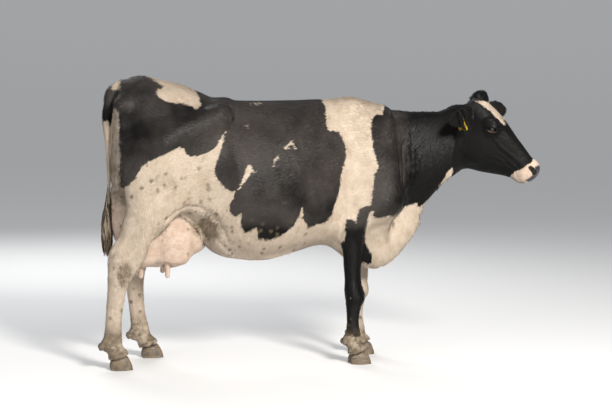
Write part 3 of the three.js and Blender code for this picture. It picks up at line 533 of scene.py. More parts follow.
BLACK_FOREHAND = [
    (385, 60), (385, 105), (383, 111.5), (382, 115.6), (375.4, 114), (372, 120), (371.3, 133), (373, 146),
    (376.3, 158), (378, 168), (374.6, 176), (373.8, 189), (371.3, 203), (368.8, 206), (363, 207),
    (358, 212), (356.4, 222.6), (351.4, 219), (347, 220), (345, 229), (346.4, 237.5), (341, 243),
    (335, 262), (335, 322), (352, 325), (372, 322), (372, 262), (364.7, 239), (365.5, 229), (368, 221),
    (371, 211), (373, 211.6), (378, 222.6), (383, 222.6), (386, 225), (390, 224), (396, 216), (403, 208),
    (408, 205), (413, 205), (416, 203), (418.6, 207), (425, 205), (440, 195), (470, 200), (509, 187),
    (511, 176), (515.6, 172), (522, 169.5), (527, 165.4), (532, 163), (534.5, 157), (550, 145), (550, 60),
]
WHITE_THROAT = [
    (452, 167.5), (446, 174.5), (441, 184), (437, 191), (441, 190), (448, 183), (452, 176), (453.5, 170),
]
WHITE_BLAZE = [
    (474.5, 101), (480, 100.6), (488, 102), (494.5, 106.5), (500.3, 114), (503.5, 119.5), (505.5, 126),
    (500.6, 123), (495.7, 117), (488, 109.8), (481.5, 104.6), (477, 102.6),
]
PINK_MUZZLE = [
    (509.5, 188), (511, 176), (515.6, 172), (522, 169.5), (527, 165.4), (532, 163), (534.2, 158.5),
    (545, 155), (550, 190), (520, 195),
]
WHITE_TAIL_ROOT = [(110.3, 88.4), (113, 84.2), (116.8, 80.7), (120, 78), (120.3, 89), (113, 90.5)]
# The far side, drawn as if seen from the near side: its own lower edges under the same back line.
BLACK_FAR_BARREL = [
    (321.6, 40), (100, 40), (100, 104), (112, 105), (118.6, 112), (119.8, 130), (120.6, 168),
    (132, 150), (139, 138), (150, 131), (161, 139), (170, 153), (184, 164), (197, 160), (208, 167),
    (214, 182), (211, 196), (218, 209), (229, 218), (240, 214), (246, 228), (258, 236), (267, 226),
    (274, 209), (284, 199), (290, 184), (303, 177), (311, 186), (318, 203), (327, 196), (333, 181),
    (331, 164), (338, 150), (334, 137), (327, 126), (325.7, 108), (321.6, 98),
]
WHITE_FAR_FLANK = [
    (226, 132), (238, 127), (251, 134), (254, 149), (247, 163), (252, 175), (243, 184), (232, 176),
    (229, 160), (222, 147),
]
BLACK_FAR_FOREHAND = [
    (385, 60), (385, 105), (389, 118), (384, 131), (377, 139), (379, 156), (386, 168), (383, 184), (374, 193),
    (366, 205), (361, 219), (352, 226), (347, 238), (357, 246), (368, 240), (379, 228), (388, 224),
    (396, 214), (405, 210), (413, 200), (424, 203), (440, 195), (470, 200), (503, 189), (508, 178),
    (517, 171), (524, 166), (532, 163), (534.5, 157), (550, 145), (550, 60),
]


def outline_distance(q, outline):
    """Signed distance in pixels from an outline: negative inside it."""
    ring = np.asarray(outline, float)
    best = np.full(len(q), np.inf)
    inside = np.zeros(len(q), bool)
    for a, b in zip(ring, np.roll(ring, -1, axis=0)):
        along = b - a
        off = q - a
        t = clamp01(off @ along / (along @ along))
        best = np.minimum(best, ((off - t[:, None] * along) ** 2).sum(1))
        if a[1] == b[1]:
            continue
        crosses = (q[:, 1] < a[1]) != (q[:, 1] < b[1])
        x = a[0] + (q[:, 1] - a[1]) / (b[1] - a[1]) * along[0]
        inside ^= crosses & (q[:, 0] < x)
    return np.where(inside, -1, 1) * np.sqrt(best)


# How far into the white or the black a place counts as, px, where no outline's distance says it.
FAR_INTO = 30.0
ALL_WHITE, ALL_BLACK = 25, -25
EDGE_LIMIT = 20


def layered(q, black, white):
    """Distance into the white (positive) or the black (negative), white outlines lying over black ones."""
    value = np.full(len(q), FAR_INTO)
    for outline in black:
        value = np.minimum(value, outline_distance(q, outline))
    for outline in white:
        value = np.maximum(value, -outline_distance(q, outline))
    return value


neck_line = smooth_stations([s[0] for s in NECK.values()], [[s[1]] for s in NECK.values()])
NECK_SPAN = (NECK["base"][0], NECK["nape"][0])


def mid_plane(x):
    """The y of the cow's middle, which leaves the plane of the body along the turned neck."""
    return neck_line(np.clip(x, *NECK_SPAN))[:, 0]


def mirrored(p, is_head):
    """Points of the far side brought over to the near side, across the head's or the body's mid-plane."""
    q = HEAD.to_local(p)
    head_side = q[:, 1] > 0
    q[:, 1] = -np.abs(q[:, 1])
    line = mid_plane(p[:, 0])
    body = p.copy()
    body_side = p[:, 1] > line
    body[:, 1] = line - np.abs(p[:, 1] - line)
    return np.where(is_head[:, None], HEAD.to_world(q), body), np.where(is_head, head_side, body_side)


EAR_NEAR = 8  # how close to an ear's mass a point is the ear's, mm


def side_of_ear(p):
    """Which ear a point is on, and 0 for neither."""
    where = np.zeros(len(p))
    for side in (RIGHT, LEFT):
        mass, (low, high) = ear_mass(side)
        near = np.flatnonzero(np.all((p > low) & (p < high), axis=1))
        where[near[mass(p[near]) < EAR_NEAR]] = side
    return where


# The plane where the neck meets the head, in the head's own frame: a point of it and the way to the head.
HEAD_FROM, HEADWARDS = np.array([-8, 0, -74]), np.array([0.736, 0, 0.677])
HEAD_ROOM = 90  # how far above the face line a point can still be the head's, mm

# Marks by place, in mm of the cow's or the head's own frame. A pair gives where a mark starts and is full.
MM_PER_PIXEL = 5.5
LEG_MARK = {"top": 590, "reach": 130, "out": 60, "black_above": 150}
UNDERSIDE = {"facing": (0.55, 0.85), "from": 380, "to": 1560, "below": 800}
TAIL_MARK = {
    "near": 9, "behind": 60, "below": 1500, "dock_from": 1390, "white_from": 1262, "ragged": 14, "soft": 6,
}
UDDER_SKIN = {
    "blend": (-10, 22), "below": 960, "hair": (760, 900), "tilt": 0.25, "tilt_at": 100, "haired": 0.75,
}
MUZZLE_SOFT = 1.5
NOSE_PAD = {"front": (513, 524), "side": (-55, -43), "low": (-100, -86)}
# Painted shade inside each nostril: the depths over which it starts and is full, mm, and how dark it is.
NOSTRIL_SHADE = {"depth": (-6.0, -2.0), "dark": 0.985}
# Painted shade along the muzzle's lower edge near the middle: where it starts and is full, mm, and how grey.
LIP_SHADE = {"low": (104, 112), "side": (-44, -30), "grey": 0.7}
SLIT = {"half": 34, "at": 1300, "tall": 62, "behind": (-22, 6)}
LID_RIM = {"below": -12, "thick": 3.2, "long": 17, "in": -4, "pink": 0.85}

# Dirt, and painted shade in the flank pocket and between the thighs. An oval is its middle (x, z), its half
# sizes and how strong it is.
HOCK_SCUFF = ((40, 500), (46, 72), 1.6)
# Painted shade in the hollow under the fold over the udder, in the colour of mud.
FLANK_POCKET_SHADE = ((470, 735), (80, 84), 1.6)
HOCK_DIRT = {"amount": 0.7, "at": 575, "tall": 75, "behind": (-70, 10), "below": 760}
# Painted shade on the rear between the thighs, in the colour of mud.
SEAT_SHADE = {"amount": 0.95, "at": 960, "tall": 230, "behind": (-130, -40), "within": (-150, -90)}
FOOT_DIRT = {"amount": 1.15, "fades": (90, 290), "hind": 0.35, "hind_fades": (250, 520), "hind_end": 700}
FLANK_DIRT = {"amount": 0.4, "at": 650, "tall": 120, "from": 350, "to": 1000}
THIGH_DIRT = {"amount": 0.66, "z": (950, 170), "x": (240, 210)}
DUST = 0.05


def past_nape(local):
    """How far points of the head's own frame lie on the head's side of the nape, mm."""
    return (local - HEAD_FROM) @ HEADWARDS


def oval(x, z, form):
    """A soft oval in the side view, from its middle, its half sizes and its height or strength."""
    (at_x, at_z), (half_x, half_z), amount = form
    return amount * np.exp(-(((x - at_x) / half_x) ** 2) - ((z - at_z) / half_z) ** 2)


def leg_marks(white, x, y, z):
    """Legs are white below the body, but for the near foreleg, which is black down to its foot."""
    for (end, side), rows in LEGS.items():
        line = np.array(rows)
        along = np.interp(z, line[::-1, 2], line[::-1, 0])
        near = (np.abs(x - along) < LEG_MARK["reach"]) & (y * side > LEG_MARK["out"])
        on_leg = (z < LEG_MARK["top"]) & near
        black_leg = end == "fore" and side == RIGHT
        foot_edge = (LEG_MARK["black_above"] - z) / MM_PER_PIXEL
        foot = np.clip(foot_edge, -EDGE_LIMIT, EDGE_LIMIT) if black_leg else ALL_WHITE
        white = np.where(on_leg, foot, white)
    return white


def dirt_and_shade_marks(x, y, z, white, on_tail):
    """Dirt on feet, hocks, thighs, flank and belly edge, and painted shade in the flank pocket and between
    the thighs; the white shows a little everywhere.
    """
    hock = HOCK_DIRT["amount"] * bump_at(z, HOCK_DIRT["at"], HOCK_DIRT["tall"])
    hock = hock * ramp(-x, *HOCK_DIRT["behind"]) * (z < HOCK_DIRT["below"])
    scuff = oval(x, z, HOCK_SCUFF)
    # Painted shade in the flank pocket, in the colour of mud.
    pocket_shade = oval(x, z, FLANK_POCKET_SHADE) * (white > 0)
    # Between the thighs behind: painted shade, in the colour of mud.
    seat = SEAT_SHADE["amount"] * bump_at(z, SEAT_SHADE["at"], SEAT_SHADE["tall"])
    seat = seat * ramp(-x, *SEAT_SHADE["behind"]) * ramp(-np.abs(y), *SEAT_SHADE["within"]) * ~on_tail
    feet = FOOT_DIRT["amount"] * (1 - ramp(z, *FOOT_DIRT["fades"]))
    hind = FOOT_DIRT["hind"] * (1 - ramp(z, *FOOT_DIRT["hind_fades"])) * (x < FOOT_DIRT["hind_end"])
    flank = FLANK_DIRT["amount"] * bump_at(z, FLANK_DIRT["at"], FLANK_DIRT["tall"])
    flank = flank * (x > FLANK_DIRT["from"]) * (x < FLANK_DIRT["to"])
    thigh = THIGH_DIRT["amount"] * bump_at(z, *THIGH_DIRT["z"]) * bump_at(x, *THIGH_DIRT["x"]) * (white > 0)
    return np.maximum.reduce([hock, scuff, pocket_shade, seat, feet + hind, flank, thigh, DUST * (white > 0)])


def coat_marks(p, normal):
    """Every mark of the coat at points of the body (mm): how far into the white, how pink, and its dirt with
    painted shade.
    """
    local = HEAD.to_local(p)
    is_head = (past_nape(local) > 0) & (local[:, 2] < HEAD_ROOM)
    near_side, far = mirrored(p, is_head)
    q = in_picture(near_side)
    flecks = list(WHITE_FLECKS.values())
    near_marks = layered(q, [BLACK_RUMP_AND_BARREL, BLACK_FOREHAND],
                         [WHITE_RUMP, WHITE_TAIL_ROOT, WHITE_THROAT, WHITE_BLAZE] + flecks)
    far_marks = layered(q, [BLACK_FAR_BARREL, BLACK_FAR_FOREHAND],
                        [WHITE_RUMP, WHITE_TAIL_ROOT, WHITE_FAR_FLANK, WHITE_BLAZE])
    x, y, z = p.T
    white = leg_marks(np.where(far, far_marks, near_marks), x, y, z)

    # Belly, brisket keel and the inside of the thighs.
    under = ramp(-normal[:, 2], *UNDERSIDE["facing"]) * (x > UNDERSIDE["from"]) * (x < UNDERSIDE["to"])
    white = white + under * (z < UNDERSIDE["below"]) * FAR_INTO

    # Tail: black above, its dock white.
    on_tail = (tail_field[0](p) < TAIL_MARK["near"]) & (x < TAIL_MARK["behind"]) & (z < TAIL_MARK["below"])
    dock_edge = TAIL_MARK["white_from"] + TAIL_MARK["ragged"] * np.sin(x / 7 + y / 5)
    dock = np.minimum((dock_edge - z) / TAIL_MARK["soft"], EDGE_LIMIT)
    white = np.where(on_tail & (z < TAIL_MARK["dock_from"]), dock, white)

    ear = side_of_ear(p)
    white = np.where(ear != 0, ALL_BLACK, white)

    # Bare and thinly haired skin: udder, teats, muzzle, under the tail.
    udder = ramp(body_only(p) - udder_field(p), *UDDER_SKIN["blend"]) * (z < UDDER_SKIN["below"])
    upper_hair = ramp(z + (x - UDDER_SKIN["tilt_at"]) * UDDER_SKIN["tilt"], *UDDER_SKIN["hair"])
    pink = udder * (1 - UDDER_SKIN["haired"] * upper_hair)
    white = np.where(udder > 0.4, ALL_WHITE, white)
    muzzle = clamp01(-outline_distance(q, PINK_MUZZLE) / MUZZLE_SOFT + 0.5) * is_head
    off_middle = np.abs(local[:, 1])
    nose_pad = ramp(local[:, 0], *NOSE_PAD["front"]) * ramp(-off_middle, *NOSE_PAD["side"])
    nose_pad = nose_pad * ramp(local[:, 2], *NOSE_PAD["low"]) * is_head
    # Deep in each nostril the skin takes the ears' near-black colour: painted shade in the hole.
    depths = [ramp(-nostril(side)[0](p), *NOSTRIL_SHADE["depth"]) for side in (RIGHT, LEFT)]
    nostril_shade = np.maximum.reduce(depths) * is_head
    nose_pad = nose_pad * (1 - nostril_shade)
    # The muzzle's lowest edge near the middle is painted grey with the nose pad's colour: painted shade under
    # the lip.
    lip_shade = ramp(-local[:, 2], *LIP_SHADE["low"]) * ramp(-off_middle, *LIP_SHADE["side"]) * muzzle
    nose_pad = np.maximum(nose_pad, LIP_SHADE["grey"] * lip_shade)
    slit = bump_at(y, 0, SLIT["half"]) * bump_at(z, SLIT["at"], SLIT["tall"])
    slit = slit * ramp(-x, *SLIT["behind"]) * ~on_tail
    pink = np.maximum.reduce([pink, muzzle * (1 - nose_pad), slit])
    white = np.where((muzzle > 0.5) | (slit > 0.5), ALL_WHITE, white)

    # The bare rim of each lower lid.
    for side in (RIGHT, LEFT):
        q = EYES[side].to_local(p)
        rim = bump_at(q[:, 1], LID_RIM["below"], LID_RIM["thick"]) * bump_at(q[:, 0], 0, LID_RIM["long"])
        pink = np.maximum(pink, LID_RIM["pink"] * (rim * (q[:, 2] > LID_RIM["in"]) * is_head))
    return {
        "white": white,
        "pink": pink,
        "dirt_and_shade": np.where(is_head, 0, dirt_and_shade_marks(x, y, z, white, on_tail)),
        "pad": nose_pad,
        # The ear mark also carries the painted shade inside the nostrils.
        "ear": np.maximum(np.abs(ear), NOSTRIL_SHADE["dark"] * nostril_shade),
        "ear_side": ear,
        "bare": np.maximum.reduce([udder * (1 - upper_hair), muzzle, slit]),
        "tail": on_tail * 1.0,
        "head": is_head * 1.0,
    }


# ---- The skin's own forms, over the body's masses ----

SIDE_FACING = (0.35, 0.75)
HEAD_BLEND = (10, 40)
# Ovals in the side view: middle (x, z), half sizes and height, mm.
HIP_JOINT = ((240, 1180), (95, 80), 7)
FLANK_HOLLOW = ((650, 1300), (95, 62), 20)
FLANK_POCKET = ((468, 745), (58, 50), 16)
# Strokes in the side view: points (x, z), height or depth and width, mm.
FLANK_RIDGE = ([(545, 1262), (585, 1150), (612, 1040), (600, 930)], 12, 28)
ELBOW_CREASE = ([(1171, 672), (1180, 740), (1186, 800)], 9, 12)
UDDER_FOLD = ([(395, 725), (440, 660), (512, 592)], 6, 9)
BRISKET_FOLD = ([(1500, 862), (1512, 760), (1496, 668)], 8, 10)
# The fold that runs over the udder from the thigh to the belly, as deep at its ends as at its middle.
FLANK_ARC = [(244, 767), (310, 819), (371, 842), (423, 838), (486, 804), (534, 742), (578, 659)]
FLANK_ARC_DEPTH, FLANK_ARC_WIDTH = 9, 9
# Where forms start and end, as two pairs: the places over which they rise and fall, mm.
RIBS = {
    "x": ((790, 870), (1070, 1130)), "z": ((760, 880), (1180, 1300)), "spacing": 66, "height": 2.2,
    "lean": 0.22, "lean_at": 1000,
}
MILK_VEIN = {
    "x": ((470, 560), (890, 1010)), "y": 150, "wave": 16, "wave_length": 58, "width": 13, "height": 9,
    "facing": (0.1, 0.5),
}
NECK_FOLDS = {
    "x": ((1480, 1520), (1610, 1660)), "z": ((905, 995), (1172, 1292)), "spacing": 27, "height": 4.5,
    "lean": 0.05, "lean_at": 1100, "sink": 0.3, "facing": (0.3, 0.7),
}
LEG_SIDE = {"reach": (-140, -110), "out": 40}
HOCK_GROOVE = {"z": ((600, 650), (720, 800)), "behind": 34, "width": 16, "depth": 9}
SHIN_GROOVE = {"z": ((150, 210), (300, 380)), "behind": 6, "width": 9, "depth": 3.5}
CORONET = {"at": 76, "tall": 12, "slope": 0.3, "height": 3}
SEAT_FILL = {
    "height": 24, "at": 950, "tall": 160, "facing": (0.2, 0.7), "behind": (-190, -120), "from": -20,
    "within": (-170, -110),
}
UNDER_TAIL = {"behind": (-16, 10), "above": 1180, "below": 1400}
# Under the tail: height or depth, half width, middle z and half height, mm.
LIPS, CLEFT, OPENING = (8, 36, 1275, 58), (9, 5, 1270, 44), (9, 10, 1368, 9)
BAG = {"inside": (-26, -6), "top": 900}
BAG_BELOW = {"height": 20, "facing": (0.25, 0.8), "above": (500, 515)}
BAG_BEFORE = {"height": 14, "facing": (0.2, 0.7), "z": ((530, 580), (680, 760)), "from": 300}
BAG_CLEFT = {"depth": 9, "half": 16, "below": 640}
BAG_VEINS, LUMPS = 1.8, 1.1

# The face, in the head's own side view: mm down the face from the poll, and mm below the face line.
FACE_RIDGES = [
    ([(262, 82), (330, 84), (405, 66), (462, 54)], 4.5, 10),
    ([(336, 150), (367, 131), (408, 126)], 4.0, 8),
    ([(402, 104), (432, 95), (461, 90)], 4.0, 7),
    ([(160, 66), (180, 26), (208, 6), (248, 12)], 6.5, 12),
    ([(206, 90), (225, 97), (250, 88)], 3.5, 7),
    ([(205, 250), (290, 225), (350, 190)], 4.0, 22),
]
FACE_GROOVES = [
    ([(270, 97), (335, 97), (400, 82)], 3.5, 9),
    ([(345, 163), (376, 143), (410, 138)], 3.0, 7),
    ([(404, 116), (436, 106), (462, 101)], 3.0, 6),
    ([(254, 66), (275, 74), (292, 90)], 3.0, 7),
]
MOUTH = [(455, 96), (480, 107), (508, 118), (535, 118), (560, 104)]
MOUTH_GROOVE = {"depth": 2.2, "width": 3.2, "from": (445, 462)}
NAPE = {"x": 1885, "length": 38, "depth": 26, "facing": (0.0, 0.6), "above": (1395, 1425)}
NOSTRIL = {"upper": (509, 63, -26), "lower": (540, 39, -30), "upper_radius": 8, "lower_radius": 13.5}
LID = {"radius": 23.5, "length": 23, "height": 10.5, "drop": 1.5, "corner": 1.5, "closed": 20, "room": 45}
EYE_OUT, EYE_LEVEL = (0.32, 1.0, 0.10), (0.78, 0, 0.62)  # of the head's own frame
MELT = {"lid": 10, "lid_opening": -3, "nostril": -5, "udder": 14, "ear": 16, "tail": 18}
UDDER_REGION = (np.array([-80, -260, 430]), np.array([560, 260, 1000]))


def eye_frame(side):
    """An eye's own frame: forward along the face, up, and out of the head."""
    out = unit(sided(EYE_OUT, side))
    level = np.array(EYE_LEVEL)
    along = unit(level - out * (level @ out))
    up = np.cross(along, out) * side
    axes = np.array([along, up, out]) @ HEAD.axes
    return Frame(HEAD.to_world(sided(EYE_AT, side)), axes)


EYES = {side: eye_frame(side) for side in (RIGHT, LEFT)}


def lid_opening(side):
    """The almond between the lids, as a mass that runs outwards from the eye's middle."""
    place = EYES[side]

    def field(p):
        q = place.to_local(p)
        rise = np.abs(q[:, 1] + LID["drop"]) / LID["height"]
        k = np.sqrt((q[:, 0] / LID["length"]) ** 2 + rise ** LID["corner"])
        return np.where(q[:, 2] > 0, (k - 1) * LID["height"], LID["closed"])

    middle = place.origin
    return field, (middle - LID["room"], middle + LID["room"])


def nostril(side):
    upper, lower = (HEAD.to_world(sided(NOSTRIL[end], side)) for end in ("upper", "lower"))
    return bone(upper, NOSTRIL["upper_radius"], lower, NOSTRIL["lower_radius"])


def face_masses():
    masses = []
    for side in (RIGHT, LEFT):
        masses.append((ball(HEAD, sided(EYE_AT, side), (LID["radius"],) * 3), MELT["lid"]))
        masses.append((lid_opening(side), MELT["lid_opening"]))
        masses.append((nostril(side), MELT["nostril"]))
    return masses


body_only = melt(body_masses())
skin_masses = [((body_only, EVERYWHERE), 1), ((udder_field, UDDER_REGION), MELT["udder"])]
skin_masses += [(ear_mass(side), MELT["ear"]) for side in (RIGHT, LEFT)]
skin_masses += [(tail_field, MELT["tail"])] + face_masses()
skin_field = melt(skin_masses)

NUDGE = 0.4  # the step over which a field's slope is measured, mm
LEAST_SLOPE = 0.05


def gradient(field, p, value):
    out = np.zeros_like(p)
    for n in range(3):
        q = p.copy()
        q[:, n] += NUDGE
        out[:, n] = (field(q) - value) / NUDGE
    return out


def onto_surface(field, p, rounds, reach):
    """Points moved onto a field's surface along its slope, none further than the reach."""
    start = p.copy()
    for _ in range(rounds):
        value = field(p)
        slope = gradient(field, p, value)
        p = p - slope * (value / np.maximum((slope ** 2).sum(1), LEAST_SLOPE))[:, None]
        off = p - start
        length = np.linalg.norm(off, axis=1)
        far = length > reach
        p[far] = start[far] + off[far] * (reach / length[far])[:, None]
    return p


def line_distance(u, v, points):
    """Distance of side-view points from a bent line, and how far along it the nearest place is (0 to 1)."""
    points = np.asarray(points, float)
    best, place = np.full(len(u), np.inf), np.zeros(len(u))
    for n, (a, b) in enumerate(zip(points[:-1], points[1:])):
        along = b - a
        t = clamp01(((u - a[0]) * along[0] + (v - a[1]) * along[1]) / (along @ along))
        d = np.hypot(u - a[0] - t * along[0], v - a[1] - t * along[1])
        closer = d < best
        best[closer], place[closer] = d[closer], (n + t[closer]) / (len(points) - 1)
    return best, place


def stroke(u, v, points, height, width):
    """A rounded ridge along a bent line that fades out at both ends."""
    d, place = line_distance(u, v, points)
    return height * bump_at(d, 0, width) * np.sin(np.pi * clamp01(0.08 + 0.84 * place)) ** 0.5


def window(value, rise, fall):
    """1 between two places, each a pair of numbers over which it rises or falls."""
    return ramp(value, *rise) * (1 - ramp(value, *fall))


def body_forms(p, normal, sideways, off_head):
    x, y, z = p.T
    height = oval(x, z, HIP_JOINT) * sideways
    height += stroke(x, z, *FLANK_RIDGE) * sideways
    arc, _ = line_distance(x, z, FLANK_ARC)
    height -= FLANK_ARC_DEPTH * bump_at(arc, 0, FLANK_ARC_WIDTH) * sideways
    height -= oval(x, z, FLANK_POCKET)
    height -= oval(x, z, FLANK_HOLLOW) * sideways
    height -= stroke(x, z, *ELBOW_CREASE) * sideways * (y < 0)
    height -= stroke(x, z, *UDDER_FOLD) * sideways
    height -= stroke(x, z, *BRISKET_FOLD) * sideways * off_head
    rib = np.sin((x + RIBS["lean"] * (z - RIBS["lean_at"])) * 2 * np.pi / RIBS["spacing"])
    height += RIBS["height"] * rib * window(x, *RIBS["x"]) * window(z, *RIBS["z"]) * sideways

    path = MILK_VEIN["y"] + MILK_VEIN["wave"] * np.sin(x / MILK_VEIN["wave_length"])
    vein = MILK_VEIN["height"] * bump_at(np.abs(y), path, MILK_VEIN["width"])
    height += vein * window(x, *MILK_VEIN["x"]) * ramp(-normal[:, 2], *MILK_VEIN["facing"])

    wave = np.sin((x + NECK_FOLDS["lean"] * (z - NECK_FOLDS["lean_at"])) * 2 * np.pi / NECK_FOLDS["spacing"])
    fold = (wave - NECK_FOLDS["sink"]) * window(x, *NECK_FOLDS["x"]) * window(z, *NECK_FOLDS["z"])
    return height + NECK_FOLDS["height"] * fold * ramp(-normal[:, 1], *NECK_FOLDS["facing"]) * off_head


def leg_forms(p, sideways):
    x, y, z = p.T
    height = np.zeros(len(p))
    for (end, side), rows in LEGS.items():
        line = np.array(rows)[::-1]
        ahead = x - np.interp(z, line[:, 2], line[:, 0])
        on_leg = ramp(-np.abs(ahead), *LEG_SIDE["reach"]) * (y * side > LEG_SIDE["out"])
        for groove in (HOCK_GROOVE, SHIN_GROOVE) if end == "hind" else (SHIN_GROOVE,):
            hollow = groove["depth"] * bump_at(ahead, -groove["behind"], groove["width"])
            height -= hollow * window(z, *groove["z"]) * on_leg * sideways
        coronet = bump_at(z - CORONET["slope"] * ahead, CORONET["at"], CORONET["tall"])
        height += CORONET["height"] * coronet * on_leg
    return height


def head_forms(p, normal, on_head):
    local = HEAD.to_local(p)
    s, below, out = local[:, 0], -local[:, 2], np.abs(local[:, 1])
    cheek_side = on_head * ramp(out, 18, 48)
    height = np.zeros(len(p))
    for points, rise, width in FACE_RIDGES:
        height += stroke(s, below, points, rise, width) * cheek_side
    for points, rise, width in FACE_GROOVES:
        height -= stroke(s, below, points, rise, width) * cheek_side
    mouth, _ = line_distance(s, below, MOUTH)
    groove = MOUTH_GROOVE["depth"] * bump_at(mouth, 0, MOUTH_GROOVE["width"])
    height -= groove * on_head * ramp(s, *MOUTH_GROOVE["from"])
    nape = NAPE["depth"] * bump_at(p[:, 0], NAPE["x"], NAPE["length"])
    return height - nape * ramp(normal[:, 2], *NAPE["facing"]) * ramp(p[:, 2], *NAPE["above"])


def rear_form(y, z, form):
    height, half, at, tall = form
    return height * bump_at(y, 0, half) * bump_at(z, at, tall)


def rear_forms(p, normal):
    x, y, z = p.T
    seat = ramp(-normal[:, 0], *SEAT_FILL["facing"]) * ramp(-x, *SEAT_FILL["behind"])
    seat = seat * (x > SEAT_FILL["from"]) * ramp(-np.abs(y), *SEAT_FILL["within"])
    height = SEAT_FILL["height"] * bump_at(z, SEAT_FILL["at"], SEAT_FILL["tall"]) * seat
    behind = ramp(-x, *UNDER_TAIL["behind"]) * (z > UNDER_TAIL["above"]) * (z < UNDER_TAIL["below"])
    return height + (rear_form(y, z, LIPS) - rear_form(y, z, CLEFT) - rear_form(y, z, OPENING)) * behind


def udder_forms(p, normal, udder):
    x, y, z = p.T
    below = BAG_BELOW["height"] * ramp(-normal[:, 2], *BAG_BELOW["facing"]) * ramp(z, *BAG_BELOW["above"])
    before = BAG_BEFORE["height"] * ramp(normal[:, 0], *BAG_BEFORE["facing"]) * window(z, *BAG_BEFORE["z"])
    height = (below + before * (x > BAG_BEFORE["from"])) * udder
    height -= BAG_CLEFT["depth"] * bump_at(y, 0, BAG_CLEFT["half"]) * udder * (z < BAG_CLEFT["below"])
    veins = np.sin(x / 21 + 2.1 * np.sin(z / 37 + y / 50)) * np.sin(z / 26 + 1.7 * np.sin(x / 33))
    return height + BAG_VEINS * np.maximum(veins, 0) ** 2 * udder


def small_forms(p, normal):
    """How far the skin's folds, muscles and veins stand out at points of the surface, mm."""
    x, y, z = p.T
    sideways = ramp(np.abs(normal[:, 1]), *SIDE_FACING)
    on_head = ramp(past_nape(HEAD.to_local(p)), *HEAD_BLEND)
    udder = ramp(-udder_field(p), *BAG["inside"]) * (z < BAG["top"])
    height = body_forms(p, normal, sideways, 1 - on_head) + leg_forms(p, sideways)
    height += head_forms(p, normal, on_head) + rear_forms(p, normal) + udder_forms(p, normal, udder)
    lumps = np.sin(x / 43 + 1.3 * np.sin(z / 61)) * np.sin(z / 39 + y / 47) * np.sin(y / 53 + x / 71)
    return height + LUMPS * lumps * (1 - on_head) * (1 - udder)


# ---- Making pieces ----

WELD = 0.00002  # corners of a solid closer than this are one, m
MARKS = ("white", "pink", "dirt_and_shade", "pad", "ear")


def world_of(p):
    """From the cow's own frame, mm, to the scene's, m."""
    return (p - DESIGN_SHIFT) * MM


def design_of(p):
    """From the scene's frame, m, to the cow's own, mm."""
    return np.asarray(p, float) / MM + DESIGN_SHIFT


def eye_middle():
    """The middle of the right eye's solid, mm; it is a whole ball only from its rear to its front."""
    low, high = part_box("eye_right")
    middle = (np.array(low) + np.array(high)) / 2 / MM
    middle[0] = low[0] / MM + EYE_RADIUS
    return middle


DESIGN_SHIFT = HEAD.to_world(sided(EYE_AT, RIGHT)) - eye_middle()


def only(piece):
    bpy.ops.object.select_all(action="DESELECT")
    piece.select_set(True)
    bpy.context.view_layer.objects.active = piece


def joined_copy(nodes, name):
    """One object of its own with the meshes of CAD nodes, its doubles merged."""
    copies = []
    for node in nodes:
        piece = bpy.data.objects.new(node + "_copy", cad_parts[node].data.copy())
        bpy.context.scene.collection.objects.link(piece)
        copies.append(piece)
    bpy.ops.object.select_all(action="DESELECT")
    for piece in copies:
        piece.select_set(True)
    bpy.context.view_layer.objects.active = copies[0]
    if len(copies) > 1:
        bpy.ops.object.join()
    whole = copies[0]
    whole.name = whole.data.name = name
    whole.data.materials.clear()
    bpy.ops.object.mode_set(mode="EDIT")
    bpy.ops.mesh.select_all(action="SELECT")
    bpy.ops.mesh.remove_doubles(threshold=WELD)
    bpy.ops.mesh.customdata_custom_splitnormals_clear()
    bpy.ops.object.mode_set(mode="OBJECT")
    return whole


def coordinates(piece):
    co = np.zeros(len(piece.data.vertices) * 3)
    piece.data.vertices.foreach_get("co", co)
    return co.reshape(-1, 3)


def set_coordinates(piece, co):
    piece.data.vertices.foreach_set("co", np.ascontiguousarray(co, dtype=np.float32).ravel())
    piece.data.update()


def vertex_normals(piece):
    normals = np.zeros(len(piece.data.vertices) * 3)
    piece.data.vertex_normals.foreach_get("vector", normals)
    return normals.reshape(-1, 3)


def modify(piece, kind, **settings):
    only(piece)
    modifier = piece.modifiers.new(kind.lower(), kind)
    for key, value in settings.items():
        setattr(modifier, key, value)
    bpy.ops.object.modifier_apply(modifier=modifier.name)


def subdivide_near(piece, centres, cuts=1):
    """Subdivides the faces whose middle lies within a radius (m) of any of the centres."""
    only(piece)
    count = len(piece.data.polygons)
    middles = np.zeros(count * 3)
    piece.data.polygons.foreach_get("center", middles)
    middles = middles.reshape(-1, 3)
    chosen = np.zeros(count, bool)
    for centre, radius in centres:
        chosen |= ((middles - centre) ** 2).sum(1) < radius ** 2
    bpy.ops.object.mode_set(mode="EDIT")
    bpy.ops.mesh.select_mode(type="FACE")
    bpy.ops.mesh.select_all(action="DESELECT")
    bpy.ops.object.mode_set(mode="OBJECT")
    piece.data.polygons.foreach_set("select", chosen)
    bpy.ops.object.mode_set(mode="EDIT")
    bpy.ops.mesh.subdivide(number_cuts=cuts)
    bpy.ops.mesh.quads_convert_to_tris()
    bpy.ops.object.mode_set(mode="OBJECT")


def edge_pairs(piece):
    pairs = np.zeros(len(piece.data.edges) * 2, dtype=np.int32)
    piece.data.edges.foreach_get("vertices", pairs)
    return pairs.reshape(-1, 2)


def evened(co, pairs, share):
    """Each vertex moved part of the way to the middle of its neighbours."""
    total = np.zeros_like(co)
    for n in range(3):
        total[:, n] = np.bincount(pairs[:, 0], co[pairs[:, 1], n], len(co)) + np.bincount(
            pairs[:, 1], co[pairs[:, 0], n], len(co))
    count = np.bincount(pairs.ravel(), minlength=len(co))[:, None]
    return co + (total / np.maximum(count, 1) - co) * share


